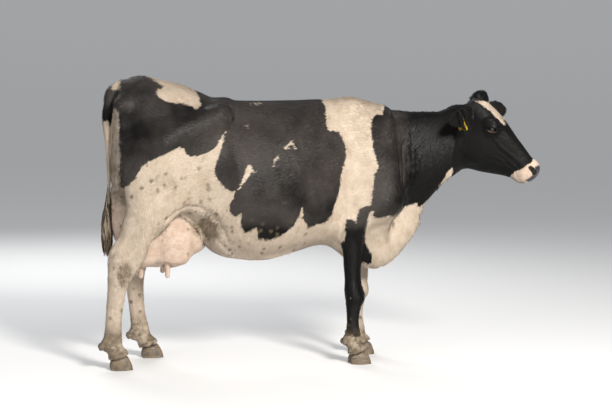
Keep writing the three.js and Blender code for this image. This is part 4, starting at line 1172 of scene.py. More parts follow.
def set_attribute(piece, name, values):
    """A number (or a vector) at each vertex."""
    values = np.asarray(values, dtype=np.float32)
    kind, key = ("FLOAT_VECTOR", "vector") if values.ndim == 2 else ("FLOAT", "value")
    layer = piece.data.attributes.new(name, kind, "POINT")
    layer.data.foreach_set(key, values.ravel())


# ---- The skin ----

LEG_NAMES = [f"leg_{end}_{side}" for end in ("front", "hind") for side in ("right", "left")]
TEAT_NAMES = [f"teat_{place}_{side}" for place in ("fore", "rear") for side in ("right", "left")]
FLESH = ["trunk", "neck", "head", "tail", "udder", "ear_right", "ear_left"] + LEG_NAMES + TEAT_NAMES
SKIN_VOXEL = 0.0062  # m
SKIN_FACES = 166000
SKIN_SWELL = 0.0012  # how far the solids' surfaces are swollen before they melt into one, m
FINE_HEAD = {"from": 60, "below": 80, "above": 950, "thinned": 0.15}
EYE_DETAIL, NOSE_DETAIL = 0.036, 0.038  # how far round an eye and a nostril the mesh is finer, m
SOLE = {"below": 82, "inside": -9}  # the ends of the legs, which the claws hold and no form moves
SMOOTHING = ((0.0, 3), (0.5, 2), (0.25, 2))  # shares of smoothing, each with its rounds onto the surface
SKIN_REACH = 30
COAT_DEPTH = {"body": 5.5, "head": 2.5, "foot": 2.0, "bare": 0.4, "ear": 1.6, "switch": 9}
FOOT_FADE, SWITCH_FADE = (120, 420), (800, 1000)


def coat_depth(p, marks):
    """How far the skin lies under the tips of the coat, mm."""
    foot = 1 - ramp(p[:, 2], *FOOT_FADE)
    depth = COAT_DEPTH["body"] - COAT_DEPTH["head"] * marks["head"] - COAT_DEPTH["foot"] * foot
    depth = depth * (1 - marks["bare"]) + COAT_DEPTH["bare"] * marks["bare"]
    depth = np.where(marks["ear_side"] != 0, COAT_DEPTH["ear"], depth)
    switch = marks["tail"] * (1 - ramp(p[:, 2], *SWITCH_FADE))
    return depth + COAT_DEPTH["switch"] * switch


def make_skin():
    """The skin, its points (mm) and the coat's marks at them."""
    skin = joined_copy(FLESH, "skin")
    set_coordinates(skin, coordinates(skin) + vertex_normals(skin) * SKIN_SWELL)
    modify(skin, "REMESH", mode="VOXEL", voxel_size=SKIN_VOXEL)
    p = design_of(coordinates(skin))
    local = HEAD.to_local(p)
    on_head = (local[:, 0] > FINE_HEAD["from"]) & (local[:, 2] < FINE_HEAD["below"])
    on_head &= p[:, 2] > FINE_HEAD["above"]
    group = skin.vertex_groups.new(name="spare")
    group.add(np.flatnonzero(~on_head).tolist(), 1.0, "REPLACE")
    group.add(np.flatnonzero(on_head).tolist(), FINE_HEAD["thinned"], "REPLACE")
    ratio = SKIN_FACES / (len(skin.data.polygons) * 2)
    modify(skin, "DECIMATE", ratio=ratio, vertex_group="spare", use_collapse_triangulate=True)
    details = []
    for side in (RIGHT, LEFT):
        details.append((world_of(EYES[side].origin), EYE_DETAIL))
        details.append((world_of(HEAD.to_world(sided(NOSTRIL["lower"], side))), NOSE_DETAIL))
    subdivide_near(skin, details)
    subdivide_near(skin, details)

    p = design_of(coordinates(skin))
    sole = (p[:, 2] < SOLE["below"]) & (body_only(p) < SOLE["inside"])
    pairs = edge_pairs(skin)
    fixed = p[sole]
    for share, rounds in SMOOTHING:
        if share:
            p = evened(p, pairs, share)
        p = onto_surface(skin_field, p, rounds, SKIN_REACH)
        p[sole] = fixed
    value = skin_field(p)
    normal = unit(gradient(skin_field, p, value))
    marks = coat_marks(p, normal)
    lift = small_forms(p, normal) - coat_depth(p, marks)
    moved = p + normal * lift[:, None]
    moved[sole] = fixed
    set_coordinates(skin, world_of(moved))
    for name in MARKS + ("bare",):
        set_attribute(skin, name, marks[name])
    skin.vertex_groups.clear()
    only(skin)
    bpy.ops.object.shade_smooth()
    return skin, moved, marks


# ---- Materials ----


def new_group(name, inputs, outputs):
    group = bpy.data.node_groups.new(name, "ShaderNodeTree")
    for kind, names in (("INPUT", inputs), ("OUTPUT", outputs)):
        for socket, socket_type in names:
            group.interface.new_socket(name=socket, in_out=kind, socket_type="NodeSocket" + socket_type)
    start, end = group.nodes.new("NodeGroupInput"), group.nodes.new("NodeGroupOutput")
    return group, start, end


class Wiring:
    """Adds nodes to a tree and links them; plain numbers and colours are set on the sockets."""

    def __init__(self, tree):
        self.tree = tree

    def add(self, kind, inputs=(), **settings):
        node = self.tree.nodes.new("ShaderNode" + kind)
        for key, value in settings.items():
            setattr(node, key, value)
        for key, value in dict(inputs).items():
            self.put(value, node.inputs[key])
        return node

    def put(self, value, socket):
        if isinstance(value, bpy.types.NodeSocket):
            self.tree.links.new(value, socket)
        else:
            socket.default_value = value

    def math(self, operation, a, b=0.0, c=0.0, clamp=False):
        return self.add("Math", {0: a, 1: b, 2: c}, operation=operation, use_clamp=clamp).outputs[0]

    def mix(self, share, a, b, blend="MIX"):
        node = self.add("Mix", data_type="RGBA", blend_type=blend)
        for socket, value in zip(("Factor_Float", "A_Color", "B_Color"), (share, a, b)):
            self.put(value, next(s for s in node.inputs if s.identifier == socket))
        return next(s for s in node.outputs if s.identifier == "Result_Color")

    def between(self, value, low, high, to_low=0.0, to_high=1.0):
        return self.add("MapRange", {"Value": value, "From Min": low, "From Max": high, "To Min": to_low,
                                     "To Max": to_high}, interpolation_type="SMOOTHSTEP").outputs[0]

    def noise(self, place, scale, detail=2.0, rough=0.5, stretch=None):
        if stretch:
            place = self.add("Mapping", {"Vector": place, "Scale": stretch}).outputs[0]
        return self.add("TexNoise", {"Vector": place, "Scale": scale, "Detail": detail,
                                     "Roughness": rough}).outputs["Fac"]


# The lighter brownish black is painted sunlight on the barrel and rump, as well as hair browned by the sun.
BLACK_HAIR, BLACK_LIT_AND_BROWNED = (0.0026, 0.0023, 0.0022, 1), (0.046, 0.039, 0.035, 1)
WHITE_HAIR, WHITE_SHADED = (0.565, 0.475, 0.385, 1), (0.455, 0.37, 0.28, 1)
BLACK_STREAK, WHITE_STREAK = (0.024, 0.021, 0.019, 1), (0.33, 0.25, 0.17, 1)
SKIN_PINK, SKIN_DEEP = (0.53, 0.42, 0.335, 1), (0.45, 0.315, 0.245, 1)
FRECKLE = (0.20, 0.115, 0.08, 1)
EAR_BLACK, EAR_GREY = (0.0035, 0.0030, 0.0030, 1), (0.010, 0.009, 0.008, 1)
MUD, MANURE = (0.195, 0.143, 0.086, 1), (0.085, 0.063, 0.037, 1)
PAD_GREY = (0.027, 0.025, 0.031, 1)

# Noise over the coat: scale per metre, detail, roughness and stretch.
NOISE = {
    "ragged": (38, 3.0, 0.6),
    "hairs": (95, 2.0, 0.6, (0.45, 1.0, 1.3)),
    "broad": (3.2, 3.0, 0.6),
    "middling": (17, 3.0, 0.6),
    "fine": (240, 1.0, 0.6, (0.35, 1.0, 1.0)),
    "blotch": (26, 4.0, 0.7),
    "freckle": (100, 2.0),
    "stain": (12, 4.0, 0.7),
    "spatter": (48, 3.0, 0.65),
}
RAGGED_EDGE, HAIRY_EDGE, EDGE_SOFT = 4.6, 3.2, 0.38  # of the white, in the marks' own pixels
SHADED_BLACK_X, SHADED_BLACK_Z, SHADED_BLACK_SHARE = (0.42, 0.66), (0.80, 0.62), -0.6  # where the black is kept near black as painted shade: head, front of the neck and low parts, m
CLOT_SCALE = 23.0
# Ranges that a noise or a mark is read over: from, to, and the values given there if they are not 0 and 1.
RANGE = {
    "lit_and_browned": (0.26, 0.62),
    "black_streak": (0.5, 0.8, 0, 0.22),
    "shaded": (0.35, 0.75),
    "white_streak": (0.35, 0.7, 0.28, 0.0),
    "deep": (0.36, 0.62),
    "freckle": (0.61, 0.69, 0, 0.4),
    "ear": (0.4, 0.6),
    "soiled_and_shaded": (0.25, 1.3, 0, 1.3),
    "stain": (0.30, 0.62),
    "clot_chosen": (0.36, 0.42),
    "clot": (0.36, 0.14),
    "clot_broken": (0.26, 0.46),
    "clot_dirt": (0.02, 0.34, 0, 1.0),
    "manure": (0.4, 0.65),
    "rough": (0.3, 0.7, 0.42, 0.58),
}
PINK_SHARE, SOIL_AND_SHADE_SHARE, PAD_GLOSS = 0.86, 0.82, -0.22
HAIR_RELIEF, FINE_RELIEF = 0.6, 0.4


def coat_group():
    """Colour, roughness and height of hair and skin at a place, from the coat's marks there."""
    names = tuple(mark.capitalize() for mark in MARKS)
    inputs = [("Place", "Vector")] + [(name, "Float") for name in names]
    group, start, end = new_group("coat colour", inputs,
                                  [("Color", "Color"), ("Roughness", "Float"), ("Height", "Float")])
    w = Wiring(group)
    place, white, pink, dirt_and_shade, pad, ear = (start.outputs[name] for name in ("Place",) + names)
    ragged = w.noise(place, *NOISE["ragged"])
    hairs = w.noise(place, *NOISE["hairs"])
    edge = w.math("MULTIPLY_ADD", w.math("SUBTRACT", ragged, 0.5), RAGGED_EDGE, white)
    edge = w.math("MULTIPLY_ADD", w.math("SUBTRACT", hairs, 0.5), HAIRY_EDGE, edge)
    is_white = w.between(edge, -EDGE_SOFT, EDGE_SOFT)

    broad = w.noise(place, *NOISE["broad"])
    middling = w.noise(place, *NOISE["middling"])
    fine = w.noise(place, *NOISE["fine"])
    split = w.add("SeparateXYZ", {0: place})
    # Painted shade keeps the black near black on the head, the front of the neck and the low parts; elsewhere
    # broad patches get the lighter black, painted sunlight over browned hair.
    ahead, low = w.between(split.outputs["X"], *SHADED_BLACK_X), w.between(split.outputs["Z"], *SHADED_BLACK_Z)
    shaded_black = w.math("MAXIMUM", ahead, low)
    lit_and_browned = w.between(w.math("MULTIPLY_ADD", shaded_black, SHADED_BLACK_SHARE, broad), *RANGE["lit_and_browned"])
    black = w.mix(lit_and_browned, BLACK_HAIR, BLACK_LIT_AND_BROWNED)
    black = w.mix(w.between(fine, *RANGE["black_streak"]), black, BLACK_STREAK)
    pale = w.mix(w.between(middling, *RANGE["shaded"]), WHITE_HAIR, WHITE_SHADED)
    pale = w.mix(w.between(fine, *RANGE["white_streak"]), pale, WHITE_STREAK)
    colour = w.mix(is_white, black, pale)

    blotch = w.noise(place, *NOISE["blotch"])
    skin = w.mix(w.between(blotch, *RANGE["deep"]), SKIN_PINK, SKIN_DEEP)
    skin = w.mix(w.between(w.noise(place, *NOISE["freckle"]), *RANGE["freckle"]), skin, FRECKLE)
    colour = w.mix(w.math("MULTIPLY", pink, PINK_SHARE), colour, skin)
    # Near-black ears, and the same colour as painted shade deep in the nostrils.
    colour = w.mix(ear, colour, w.mix(w.between(fine, *RANGE["ear"]), EAR_BLACK, EAR_GREY))
    colour = w.mix(pad, colour, PAD_GREY)

    # Mud and manure colour over real dirt, and over the painted shade of the flank pocket and between the
    # thighs.
    stain = w.noise(place, *NOISE["stain"])
    spatter = w.noise(place, *NOISE["spatter"])
    soiled_and_shaded, stained = w.between(dirt_and_shade, *RANGE["soiled_and_shaded"]), w.between(stain, *RANGE["stain"])
    amount = w.math("MULTIPLY", soiled_and_shaded, stained, clamp=True)
    clot = w.add("TexVoronoi", {"Vector": place, "Scale": CLOT_SCALE})
    number = w.add("SeparateXYZ", {0: clot.outputs["Color"]}).outputs["X"]
    chosen = w.between(number, *RANGE["clot_chosen"])
    spots = w.math("MULTIPLY", w.between(clot.outputs["Distance"], *RANGE["clot"]), chosen)
    spots = w.math("MULTIPLY", spots, w.between(spatter, *RANGE["clot_broken"]))
    spots = w.math("MULTIPLY", spots, w.between(dirt_and_shade, *RANGE["clot_dirt"]))
    amount = w.math("ADD", amount, spots, clamp=True)
    soil = w.mix(w.between(spatter, *RANGE["manure"]), MUD, MANURE)
    colour = w.mix(w.math("MULTIPLY", amount, SOIL_AND_SHADE_SHARE), colour, soil)

    rough = w.math("MULTIPLY_ADD", pad, PAD_GLOSS, w.between(broad, *RANGE["rough"]))
    height = w.math("ADD", w.math("MULTIPLY", hairs, HAIR_RELIEF), w.math("MULTIPLY", fine, FINE_RELIEF))
    for name, value in (("Color", colour), ("Roughness", rough), ("Height", height)):
        w.put(value, end.inputs[name])
    return group


COAT_COLOUR = coat_group()


def new_material(name):
    material = bpy.data.materials.new(name)
    material.use_nodes = True
    w = Wiring(material.node_tree)
    return material, w, material.node_tree.nodes["Principled BSDF"]


SHEEN, SHEEN_ROUGH, SHEEN_TINT = 0.03, 0.45, (0.85, 0.86, 0.9, 1)
COAT_SPECULAR, BUMP_HEIGHT = 0.17, 0.004


def coat_material(name, place_from, bump):
    """The look of skin or tufts: the place that its noise is read at is the object's or an attribute's."""
    material, w, shader = new_material(name)
    if place_from == "object":
        place = w.add("TexCoord").outputs["Object"]
    else:
        place = w.add("Attribute", attribute_name=place_from).outputs["Vector"]
    marks = {n.capitalize(): w.add("Attribute", attribute_name=n).outputs["Fac"]
             for n in MARKS}
    node = w.add("Group", node_tree=COAT_COLOUR)
    for key, value in {"Place": place, **marks}.items():
        w.put(value, node.inputs[key])
    w.put(node.outputs["Color"], shader.inputs["Base Color"])
    w.put(node.outputs["Roughness"], shader.inputs["Roughness"])
    if bump:
        relief = w.add("Bump", {"Height": node.outputs["Height"], "Strength": bump, "Distance": BUMP_HEIGHT})
        w.put(relief.outputs["Normal"], shader.inputs["Normal"])
    shader.inputs["Sheen Weight"].default_value = SHEEN
    shader.inputs["Sheen Roughness"].default_value = SHEEN_ROUGH
    shader.inputs["Sheen Tint"].default_value = SHEEN_TINT
    shader.inputs["Specular IOR Level"].default_value = COAT_SPECULAR
    return material


HORN_DARK, HORN_PALE = (0.075, 0.055, 0.040, 1), (0.20, 0.155, 0.11, 1)
# The tag's yellow is dark and dull: worn plastic, and painted shade of the ear over it.
TAG_YELLOW_SHADED, TAG_GRIME = (0.36, 0.235, 0.006, 1), (0.10, 0.070, 0.012, 1)


def horn_material():
    material, w, shader = new_material("horn")
    place = w.add("TexCoord").outputs["Object"]
    growth = w.noise(place, 60, 2.0, 0.5, (0.5, 0.5, 4.0))
    colour = w.mix(w.between(growth, 0.35, 0.7), HORN_DARK, HORN_PALE)
    caked = w.noise(place, 34, 4.0, 0.7)
    colour = w.mix(w.between(caked, 0.46, 0.62, 0, 0.85), colour, MUD)
    w.put(colour, shader.inputs["Base Color"])
    w.put(w.between(caked, 0.4, 0.65, 0.42, 0.85), shader.inputs["Roughness"])
    relief = w.add("Bump", {"Height": growth, "Strength": 0.5, "Distance": 0.003})
    w.put(relief.outputs["Normal"], shader.inputs["Normal"])
    return material


def tag_material():
    material, w, shader = new_material("ear tag plastic")
    place = w.add("TexCoord").outputs["Object"]
    grime = w.noise(place, 90, 4.0, 0.7)
    colour = w.mix(w.between(grime, 0.48, 0.66, 0, 0.7), TAG_YELLOW_SHADED, TAG_GRIME)
    w.put(colour, shader.inputs["Base Color"])
    w.put(w.between(grime, 0.4, 0.7, 0.38, 0.7), shader.inputs["Roughness"])
    relief = w.add("Bump", {"Height": grime, "Strength": 0.25, "Distance": 0.001})
    w.put(relief.outputs["Normal"], shader.inputs["Normal"])
    return material


IRIS_DARK, IRIS_BROWN, PUPIL = (0.018, 0.009, 0.005, 1), (0.045, 0.022, 0.011, 1), (0.002, 0.002, 0.003, 1)
EYE_RIM, EYE_WHITE = (0.035, 0.022, 0.018, 1), (0.30, 0.19, 0.16, 1)
PUPIL_NARROW = 0.55  # the pupil is a level oval


def eye_material():
    """Dark iris and pupil inside a paler rim, from the eye's own map: its middle at (0.5, 0.5)."""
    material, w, shader = new_material("eye")
    uv = w.add("UVMap", uv_map="gaze").outputs["UV"]
    centred = w.add("VectorMath", {0: uv, 1: (0.5, 0.5, 0)}, operation="SUBTRACT").outputs[0]
    split = w.add("SeparateXYZ", {0: centred})
    from_middle = w.add("VectorMath", {0: centred}, operation="LENGTH").outputs["Value"]
    across = w.math("MULTIPLY", split.outputs["X"], PUPIL_NARROW)
    pupil = w.add("VectorMath", {0: w.add("CombineXYZ", {0: across, 1: split.outputs["Y"]}).outputs[0]},
                  operation="LENGTH").outputs["Value"]
    streaks = w.noise(w.add("TexCoord").outputs["Object"], 900, 2.0)
    iris = w.mix(w.between(streaks, 0.3, 0.7), IRIS_DARK, IRIS_BROWN)
    colour = w.mix(w.between(pupil, 0.105, 0.125), PUPIL, iris)
    colour = w.mix(w.between(from_middle, 0.27, 0.30), colour, EYE_RIM)
    colour = w.mix(w.between(from_middle, 0.36, 0.42), colour, EYE_WHITE)
    w.put(colour, shader.inputs["Base Color"])
    shader.inputs["Roughness"].default_value = 0.06
    shader.inputs["Specular IOR Level"].default_value = 0.5
    return material


# ---- Eyes, claws and tags ----


def replace(piece, slot, *nodes):
    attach(piece, "root")
    if nodes:
        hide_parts(*nodes)


CORNEA = {"rise": 0.07, "half": 0.42, "most": 1.055}
EYE_FIT = 0.985  # the ball in its solid's place


def add_eye(side, name, material):
    """A ball with a bulging cornea, turned with its map towards the gaze."""
    bpy.ops.object.select_all(action="DESELECT")
    bpy.ops.mesh.primitive_uv_sphere_add(segments=48, ring_count=32, radius=1)
    eye = bpy.context.active_object
    eye.name = eye.data.name = name + "_ball"
    unit_ball = coordinates(eye)
    along, up, out = unit_ball.T
    off_axis = np.sqrt(along ** 2 + up ** 2)
    bulge = 1 + CORNEA["rise"] * np.exp(-((off_axis / CORNEA["half"]) ** 4)) * (out > 0)
    q = unit_ball * EYE_RADIUS * EYE_FIT * np.minimum(bulge, CORNEA["most"])[:, None]
    set_coordinates(eye, world_of(EYES[side].to_world(q)))
    while eye.data.uv_layers:
        eye.data.uv_layers.remove(eye.data.uv_layers[0])
    layer = eye.data.uv_layers.new(name="gaze")
    corner = np.zeros(len(eye.data.loops), dtype=np.int32)
    eye.data.loops.foreach_get("vertex_index", corner)
    from_middle = np.where(out > 0, off_axis, 2 - off_axis) / 2
    direction = np.stack([along, up], -1) / np.maximum(off_axis, 1e-6)[:, None]
    uv = 0.5 + direction * from_middle[:, None] * 0.5
    layer.data.foreach_set("uv", uv[corner].astype(np.float32).ravel())
    eye.data.materials.append(material)
    only(eye)
    bpy.ops.object.mode_set(mode="EDIT")
    bpy.ops.mesh.select_all(action="SELECT")
    bpy.ops.mesh.normals_make_consistent(inside=False)
    bpy.ops.object.mode_set(mode="OBJECT")
    bpy.ops.object.shade_smooth()
    replace(eye, "eye", name)


GROUND_CLAW = 0.002  # a horn whose lowest point is under this height stands on the ground, m
SOLE_RIM, SOLE_CREASE = 0.001, 0.85
GROWTH_RINGS = {"deep": 0.0006, "apart": 0.0085, "waver": 1.4, "waver_over": 0.03, "fade": (0.008, 0.02)}


def add_horn(node, material):
    """A claw or a dewclaw: the node's own form, rounded over, its sole kept flat."""
    horn = joined_copy([node], node + "_horn")
    only(horn)
    bpy.ops.object.mode_set(mode="EDIT")
    bpy.ops.mesh.select_all(action="SELECT")
    bpy.ops.mesh.tris_convert_to_quads(face_threshold=0.5, shape_threshold=0.6)
    bpy.ops.object.mode_set(mode="OBJECT")
    low = coordinates(horn)[:, 2].min()
    if low < GROUND_CLAW:
        crease = horn.data.attributes.new("crease_edge", "FLOAT", "EDGE")
        heights = coordinates(horn)[:, 2]
        pairs = edge_pairs(horn)
        flat = (heights[pairs] < low + SOLE_RIM).all(1)
        crease.data.foreach_set("value", flat * SOLE_CREASE)
    modify(horn, "SUBSURF", levels=3, render_levels=3)
    co = coordinates(horn)
    low_now = co[:, 2].min()
    if low < GROUND_CLAW:
        co[:, 2] += low - low_now
        waver = GROWTH_RINGS["waver"] * np.sin(co[:, 0] / GROWTH_RINGS["waver_over"])
        rings = GROWTH_RINGS["deep"] * np.sin(co[:, 2] / GROWTH_RINGS["apart"] + waver)
        normal = vertex_normals(horn)
        co[:, :2] += normal[:, :2] * (rings * ramp(co[:, 2], *GROWTH_RINGS["fade"]))[:, None]
        set_coordinates(horn, co)
    horn.data.materials.append(material)
    only(horn)
    bpy.ops.object.shade_smooth()
    replace(horn, "horn", node)


TAG_BEVEL, TAG_ANGLE = 0.0009, math.radians(35)


def add_tag(node, material):
    tag = joined_copy([node], node + "_plate")
    modify(tag, "BEVEL", width=TAG_BEVEL, segments=2, limit_method="ANGLE", angle_limit=TAG_ANGLE)
    tag.data.materials.append(material)
    only(tag)
    bpy.ops.object.shade_smooth_by_angle(angle=TAG_ANGLE)
    replace(tag, "eartag", node)


# ---- The coat's tufts ----

TUFT_FACES = np.array([(0, 1, 3), (0, 3, 2), (1, 4, 3), (3, 4, 2), (0, 2, 4), (0, 4, 1)])
TUFT_CORNERS = 5
PATCH = 0.003  # how wide a tuft is on its bake map
PATCH_CORNERS = np.array([(0, -0.5), (-0.5, 0), (0.5, 0), (0, 0), (0, 0.5)]) * PATCH
SINK = 0.9  # how deep a tuft is rooted under the skin, mm

# Length and width of a tuft and the area that each stands for, mm and square mm.
COAT_KINDS = {
    "body": (23, 3.6, 42),
    "head": (10, 2.4, 15),
    "foot": (12, 2.6, 22),
    "poll": (22, 3.0, 16),
    "ear": (15, 2.6, 12),
    "udder": (8, 1.4, 120),
}


KIND = {name: number for number, name in enumerate(COAT_KINDS)}
BARE = 0.35  # skin barer than this grows none of the body's coat
BARE_MUZZLE = 0.2
UNDER_CLAWS = {"below": 78, "inside": -14}
FOOT_BELOW, LEG_BELOW = 330, 600
POLL = {"ahead": 45, "above": -62, "within": 50}
REAR_END, BARREL, FORE_END = -200, (470, 1060), 2400  # where the body's coat is cut into pieces

# A tuft's corners, as shares of its length (along) and of its lift or half width (the rest).
TUFT = {
    "along": 0.34, "lift": 0.40, "crest_along": 0.40, "crest_lift": 0.48, "crest_round": 0.16,
    "tip_lift": 0.92,
}
TUFT_WANDER, TUFT_LENGTH, TUFT_WIDTH, TUFT_LIFT = 0.17, (0.72, 1.2), (0.75, 1.2), (0.75, 1.05)
TUFT_MIDDLE = 0.45  # the share of a tuft's length at which its colour is read
POLL_LIFT, EAR_TUFT_LIFT = 7.0, 3.0
SHORT_FOOT = {"share": 0.75, "z": (60, 330)}
SHORT_AT_EYE = {"share": 0.45, "away": (22, 60)}

# The lie of the hair: ways it runs on each part, and how wide each change of way is.
BODY_WAY, LEG_WAY, THIGH_WAY, TAIL_WAY = (-1.0, 0.0, -0.34), (-0.12, 0, -1.0), (0.5, 0, -1.2), (0, 0, -1.0)
UNDER_WAY = {"down": 0.5, "facing": (-0.2, 0.5)}
CHEST_WAY = {"down": 0.9, "x": (1330, 1500)}
LEG_TOP, THIGH_BEHIND, THIGH_TOP = (560, 860), (-330, -60), 1250
FACE_RISE, EAR_TURN, SWIRL = 0.25, 0.15, 0.16


def coat_flow(p, normal, marks):
    """The way the hair lies at points of the skin: back from the nose, down the legs, out along the ears."""
    x, y, z = p.T
    body = np.tile(BODY_WAY, (len(p), 1))
    under = UNDER_WAY["down"] * ramp(-normal[:, 2], *UNDER_WAY["facing"])
    body[:, 2] -= under + CHEST_WAY["down"] * ramp(x, *CHEST_WAY["x"])
    leg = 1 - ramp(z, *LEG_TOP)
    flow = body * (1 - leg)[:, None] + np.array(LEG_WAY) * leg[:, None]
    thigh = ramp(-x, *THIGH_BEHIND) * (z < THIGH_TOP)
    flow += np.array(THIGH_WAY) * thigh[:, None]
    face = -HEAD.axes[0] - FACE_RISE * HEAD.axes[2]
    flow = np.where((marks["head"] > 0.5)[:, None], face, flow)
    flow = np.where((marks["tail"] > 0.5)[:, None], np.array(TAIL_WAY), flow)
    for side in (RIGHT, LEFT):
        on_ear = (marks["ear"] > 0.5) & (marks["ear_side"] * side > 0)
        flow = np.where(on_ear[:, None], EARS[side].axes[0] + EAR_TURN * EARS[side].axes[1], flow)
    swirl = np.stack([np.sin(z / 61 + x / 83), np.sin(x / 57 + z / 71), np.sin(x / 49 - z / 67)], -1)
    flow = flow + SWIRL * swirl
    flow = flow - normal * (flow * normal).sum(1)[:, None]
    return unit(flow + 1e-6)


def skin_samples(skin, points, marks):
    """Roots spread over the skin, as dense as each place's kind of coat asks."""
    skin.data.calc_loop_triangles()
    triangles = np.zeros(len(skin.data.loop_triangles) * 3, dtype=np.int32)
    skin.data.loop_triangles.foreach_get("vertices", triangles)
    triangles = triangles.reshape(-1, 3)
    a, b, c = (points[triangles[:, n]] for n in range(3))
    cross = np.cross(b - a, c - a)
    area = np.linalg.norm(cross, axis=1) / 2
    mean = {name: values[triangles].mean(1) for name, values in marks.items()}
    middle = (a + b + c) / 3
    kind = coat_kind(middle, mean)
    share = np.array([values[2] for values in COAT_KINDS.values()])[kind]
    bare = np.clip(mean["bare"], 0, 1)
    wanted = area / share * np.where(mean["bare"] > BARE, 0.0, 1 - bare)
    downy = kind == KIND["udder"]
    wanted[downy] = (area / share)[downy]
    muzzle = (mean["head"] > 0.5) & (mean["bare"] > BARE_MUZZLE)
    hidden = (middle[:, 2] < UNDER_CLAWS["below"]) & (body_only(middle) < UNDER_CLAWS["inside"])
    wanted[muzzle | hidden] = 0
    number = np.floor(wanted + chance.random(len(wanted))).astype(int)
    chosen = np.repeat(np.arange(len(number)), number)
    r, s = chance.random((2, len(chosen)))
    flip = r + s > 1
    r, s = np.where(flip, 1 - r, r), np.where(flip, 1 - s, s)
    weights = np.stack([1 - r - s, r, s], -1)
    corner = triangles[chosen]
    place = (points[corner] * weights[..., None]).sum(1)
    normals = vertex_normals(skin)
    normal = unit((normals[corner] * weights[..., None]).sum(1) + 1e-9)
    at_root = {name: (values[corner] * weights).sum(1) for name, values in marks.items()}
    return place, normal, at_root, kind[chosen]


def coat_kind(p, marks):
    """Which of COAT_KINDS grows at each point, by number."""
    local = HEAD.to_local(p)
    kind = np.zeros(len(p), int)
    kind[marks["head"] > 0.5] = KIND["head"]
    kind[p[:, 2] < FOOT_BELOW] = KIND["foot"]
    poll = (marks["head"] > 0.5) & (local[:, 0] < POLL["ahead"])
    poll &= (local[:, 2] > POLL["above"]) & (np.abs(local[:, 1]) < POLL["within"])
    kind[poll] = KIND["poll"]
    kind[marks["ear"] > 0.5] = KIND["ear"]
    kind[(marks["bare"] > BARE) & (marks["head"] < 0.5)] = KIND["udder"]
    return kind


def tuft_mesh(place, normal, flow, length, width, lift):
    """Corners of closed leaf-shaped tufts: root, left, right, crest, tip."""
    across = np.cross(normal, flow)
    half = (width / 2)[:, None]
    along = length[:, None]
    up = lift[:, None]
    root = place - normal * SINK
    rim = place + flow * along * TUFT["along"]
    left = rim + across * half + normal * up * TUFT["lift"]
    right = rim - across * half + normal * up * TUFT["lift"]
    bow = up * TUFT["crest_lift"] + half * TUFT["crest_round"]
    crest = place + flow * along * TUFT["crest_along"] + normal * bow
    tip = place + flow * along + normal * up * TUFT["tip_lift"]
    return np.stack([root, left, right, crest, tip], 1)


def leg_angle(p, rows):
    line = np.array(rows)[::-1]
    x = np.interp(p[:, 2], line[:, 2], line[:, 0])
    y = np.interp(p[:, 2], line[:, 2], line[:, 1])
    return np.arctan2(p[:, 1] - y, p[:, 0] - x) / (2 * np.pi) + 0.5


def body_angle(p):
    """0 at the belly's middle line, 1 at the back's, round either side."""
    middle = mid_plane(p[:, 0])
    height = 960 + 240 * ramp(p[:, 0], 1400, 1850)
    return 1 - np.arctan2(np.abs(p[:, 1] - middle), p[:, 2] - height) / np.pi


def spread(values):
    """Values brought into 0.02 to 0.98."""
    low, high = values.min(), values.max()
    return 0.02 + 0.96 * (values - low) / max(high - low, 1e-6)


def coat_pieces(p, marks):
    """The coat's pieces: which tufts each holds and where their roots lie on its unwrap."""
    pieces = {}
    local = HEAD.to_local(p)
    head = (marks["head"] > 0.5) & (marks["ear"] < 0.5)
    around = np.arctan2(local[:, 1], local[:, 2] + 120) / (2 * np.pi) + 0.5
    pieces["coat_head"] = (head, local[:, 0], around)
    ears = marks["ear"] > 0.5
    u, v = np.zeros(len(p)), np.zeros(len(p))
    for side in (RIGHT, LEFT):
        q = EARS[side].to_local(p)
        off = q[:, 2] - ear_lift(q[:, 0], q[:, 1], side)
        here = marks["ear_side"] * side > 0
        u = np.where(here, q[:, 0] + (0 if side == RIGHT else 240), u)
        v = np.where(here, q[:, 1] + np.where(off > 0, 0, 140), v)
    pieces["coat_ears"] = (ears, u, v)
    tail = (marks["tail"] > 0.5) & ~head & ~ears
    pieces["coat_tail"] = (tail, p[:, 2], np.arctan2(p[:, 1], p[:, 0] + 36))
    taken = head | ears | tail
    for (end, side), rows in LEGS.items():
        low = ~taken & (p[:, 2] < LEG_BELOW) & (p[:, 1] * side > 0)
        low &= ((p[:, 0] > 700) == (end == "fore")) & (marks["bare"] < BARE)
        name = f"coat_leg_{end}_{'right' if side == RIGHT else 'left'}"
        pieces[name] = (low, p[:, 2], leg_angle(p, rows))
        taken = taken | low
    udder = ~taken & (marks["bare"] >= BARE)
    pieces["coat_udder"] = (udder, p[:, 0] + 0.3 * p[:, 2], np.arctan2(p[:, 1], p[:, 2] - 760))
    taken = taken | udder
    for side, name in ((RIGHT, "right"), (LEFT, "left")):
        middle = mid_plane(p[:, 0])
        here = ~taken & ((p[:, 1] > middle) == (side == LEFT))
        cuts = {"hindquarter": (REAR_END, BARREL[0]), "barrel": BARREL, "forehand": (BARREL[1], FORE_END)}
        for part, (low, high) in cuts.items():
            inside = here & (p[:, 0] >= low) & (p[:, 0] < high)
            pieces[f"coat_{part}_{name}"] = (inside, p[:, 0], body_angle(p))
    return pieces


def sharpen_rims(mesh):
    """Marks the rim of each tuft sharp, so that its upper side shades like the coat, not like a bead."""
    root, crest, tip = 0, 3, 4
    pairs = np.zeros(len(mesh.edges) * 2, dtype=np.int32)
    mesh.edges.foreach_get("vertices", pairs)
    pairs = np.sort(pairs.reshape(-1, 2) % TUFT_CORNERS, axis=1)
    keel = (pairs[:, 0] == root) & (pairs[:, 1] == tip)
    rim = (pairs[:, 0] != crest) & (pairs[:, 1] != crest) & ~keel
    layer = mesh.attributes.new("sharp_edge", "BOOLEAN", "EDGE")
    layer.data.foreach_set("value", rim)


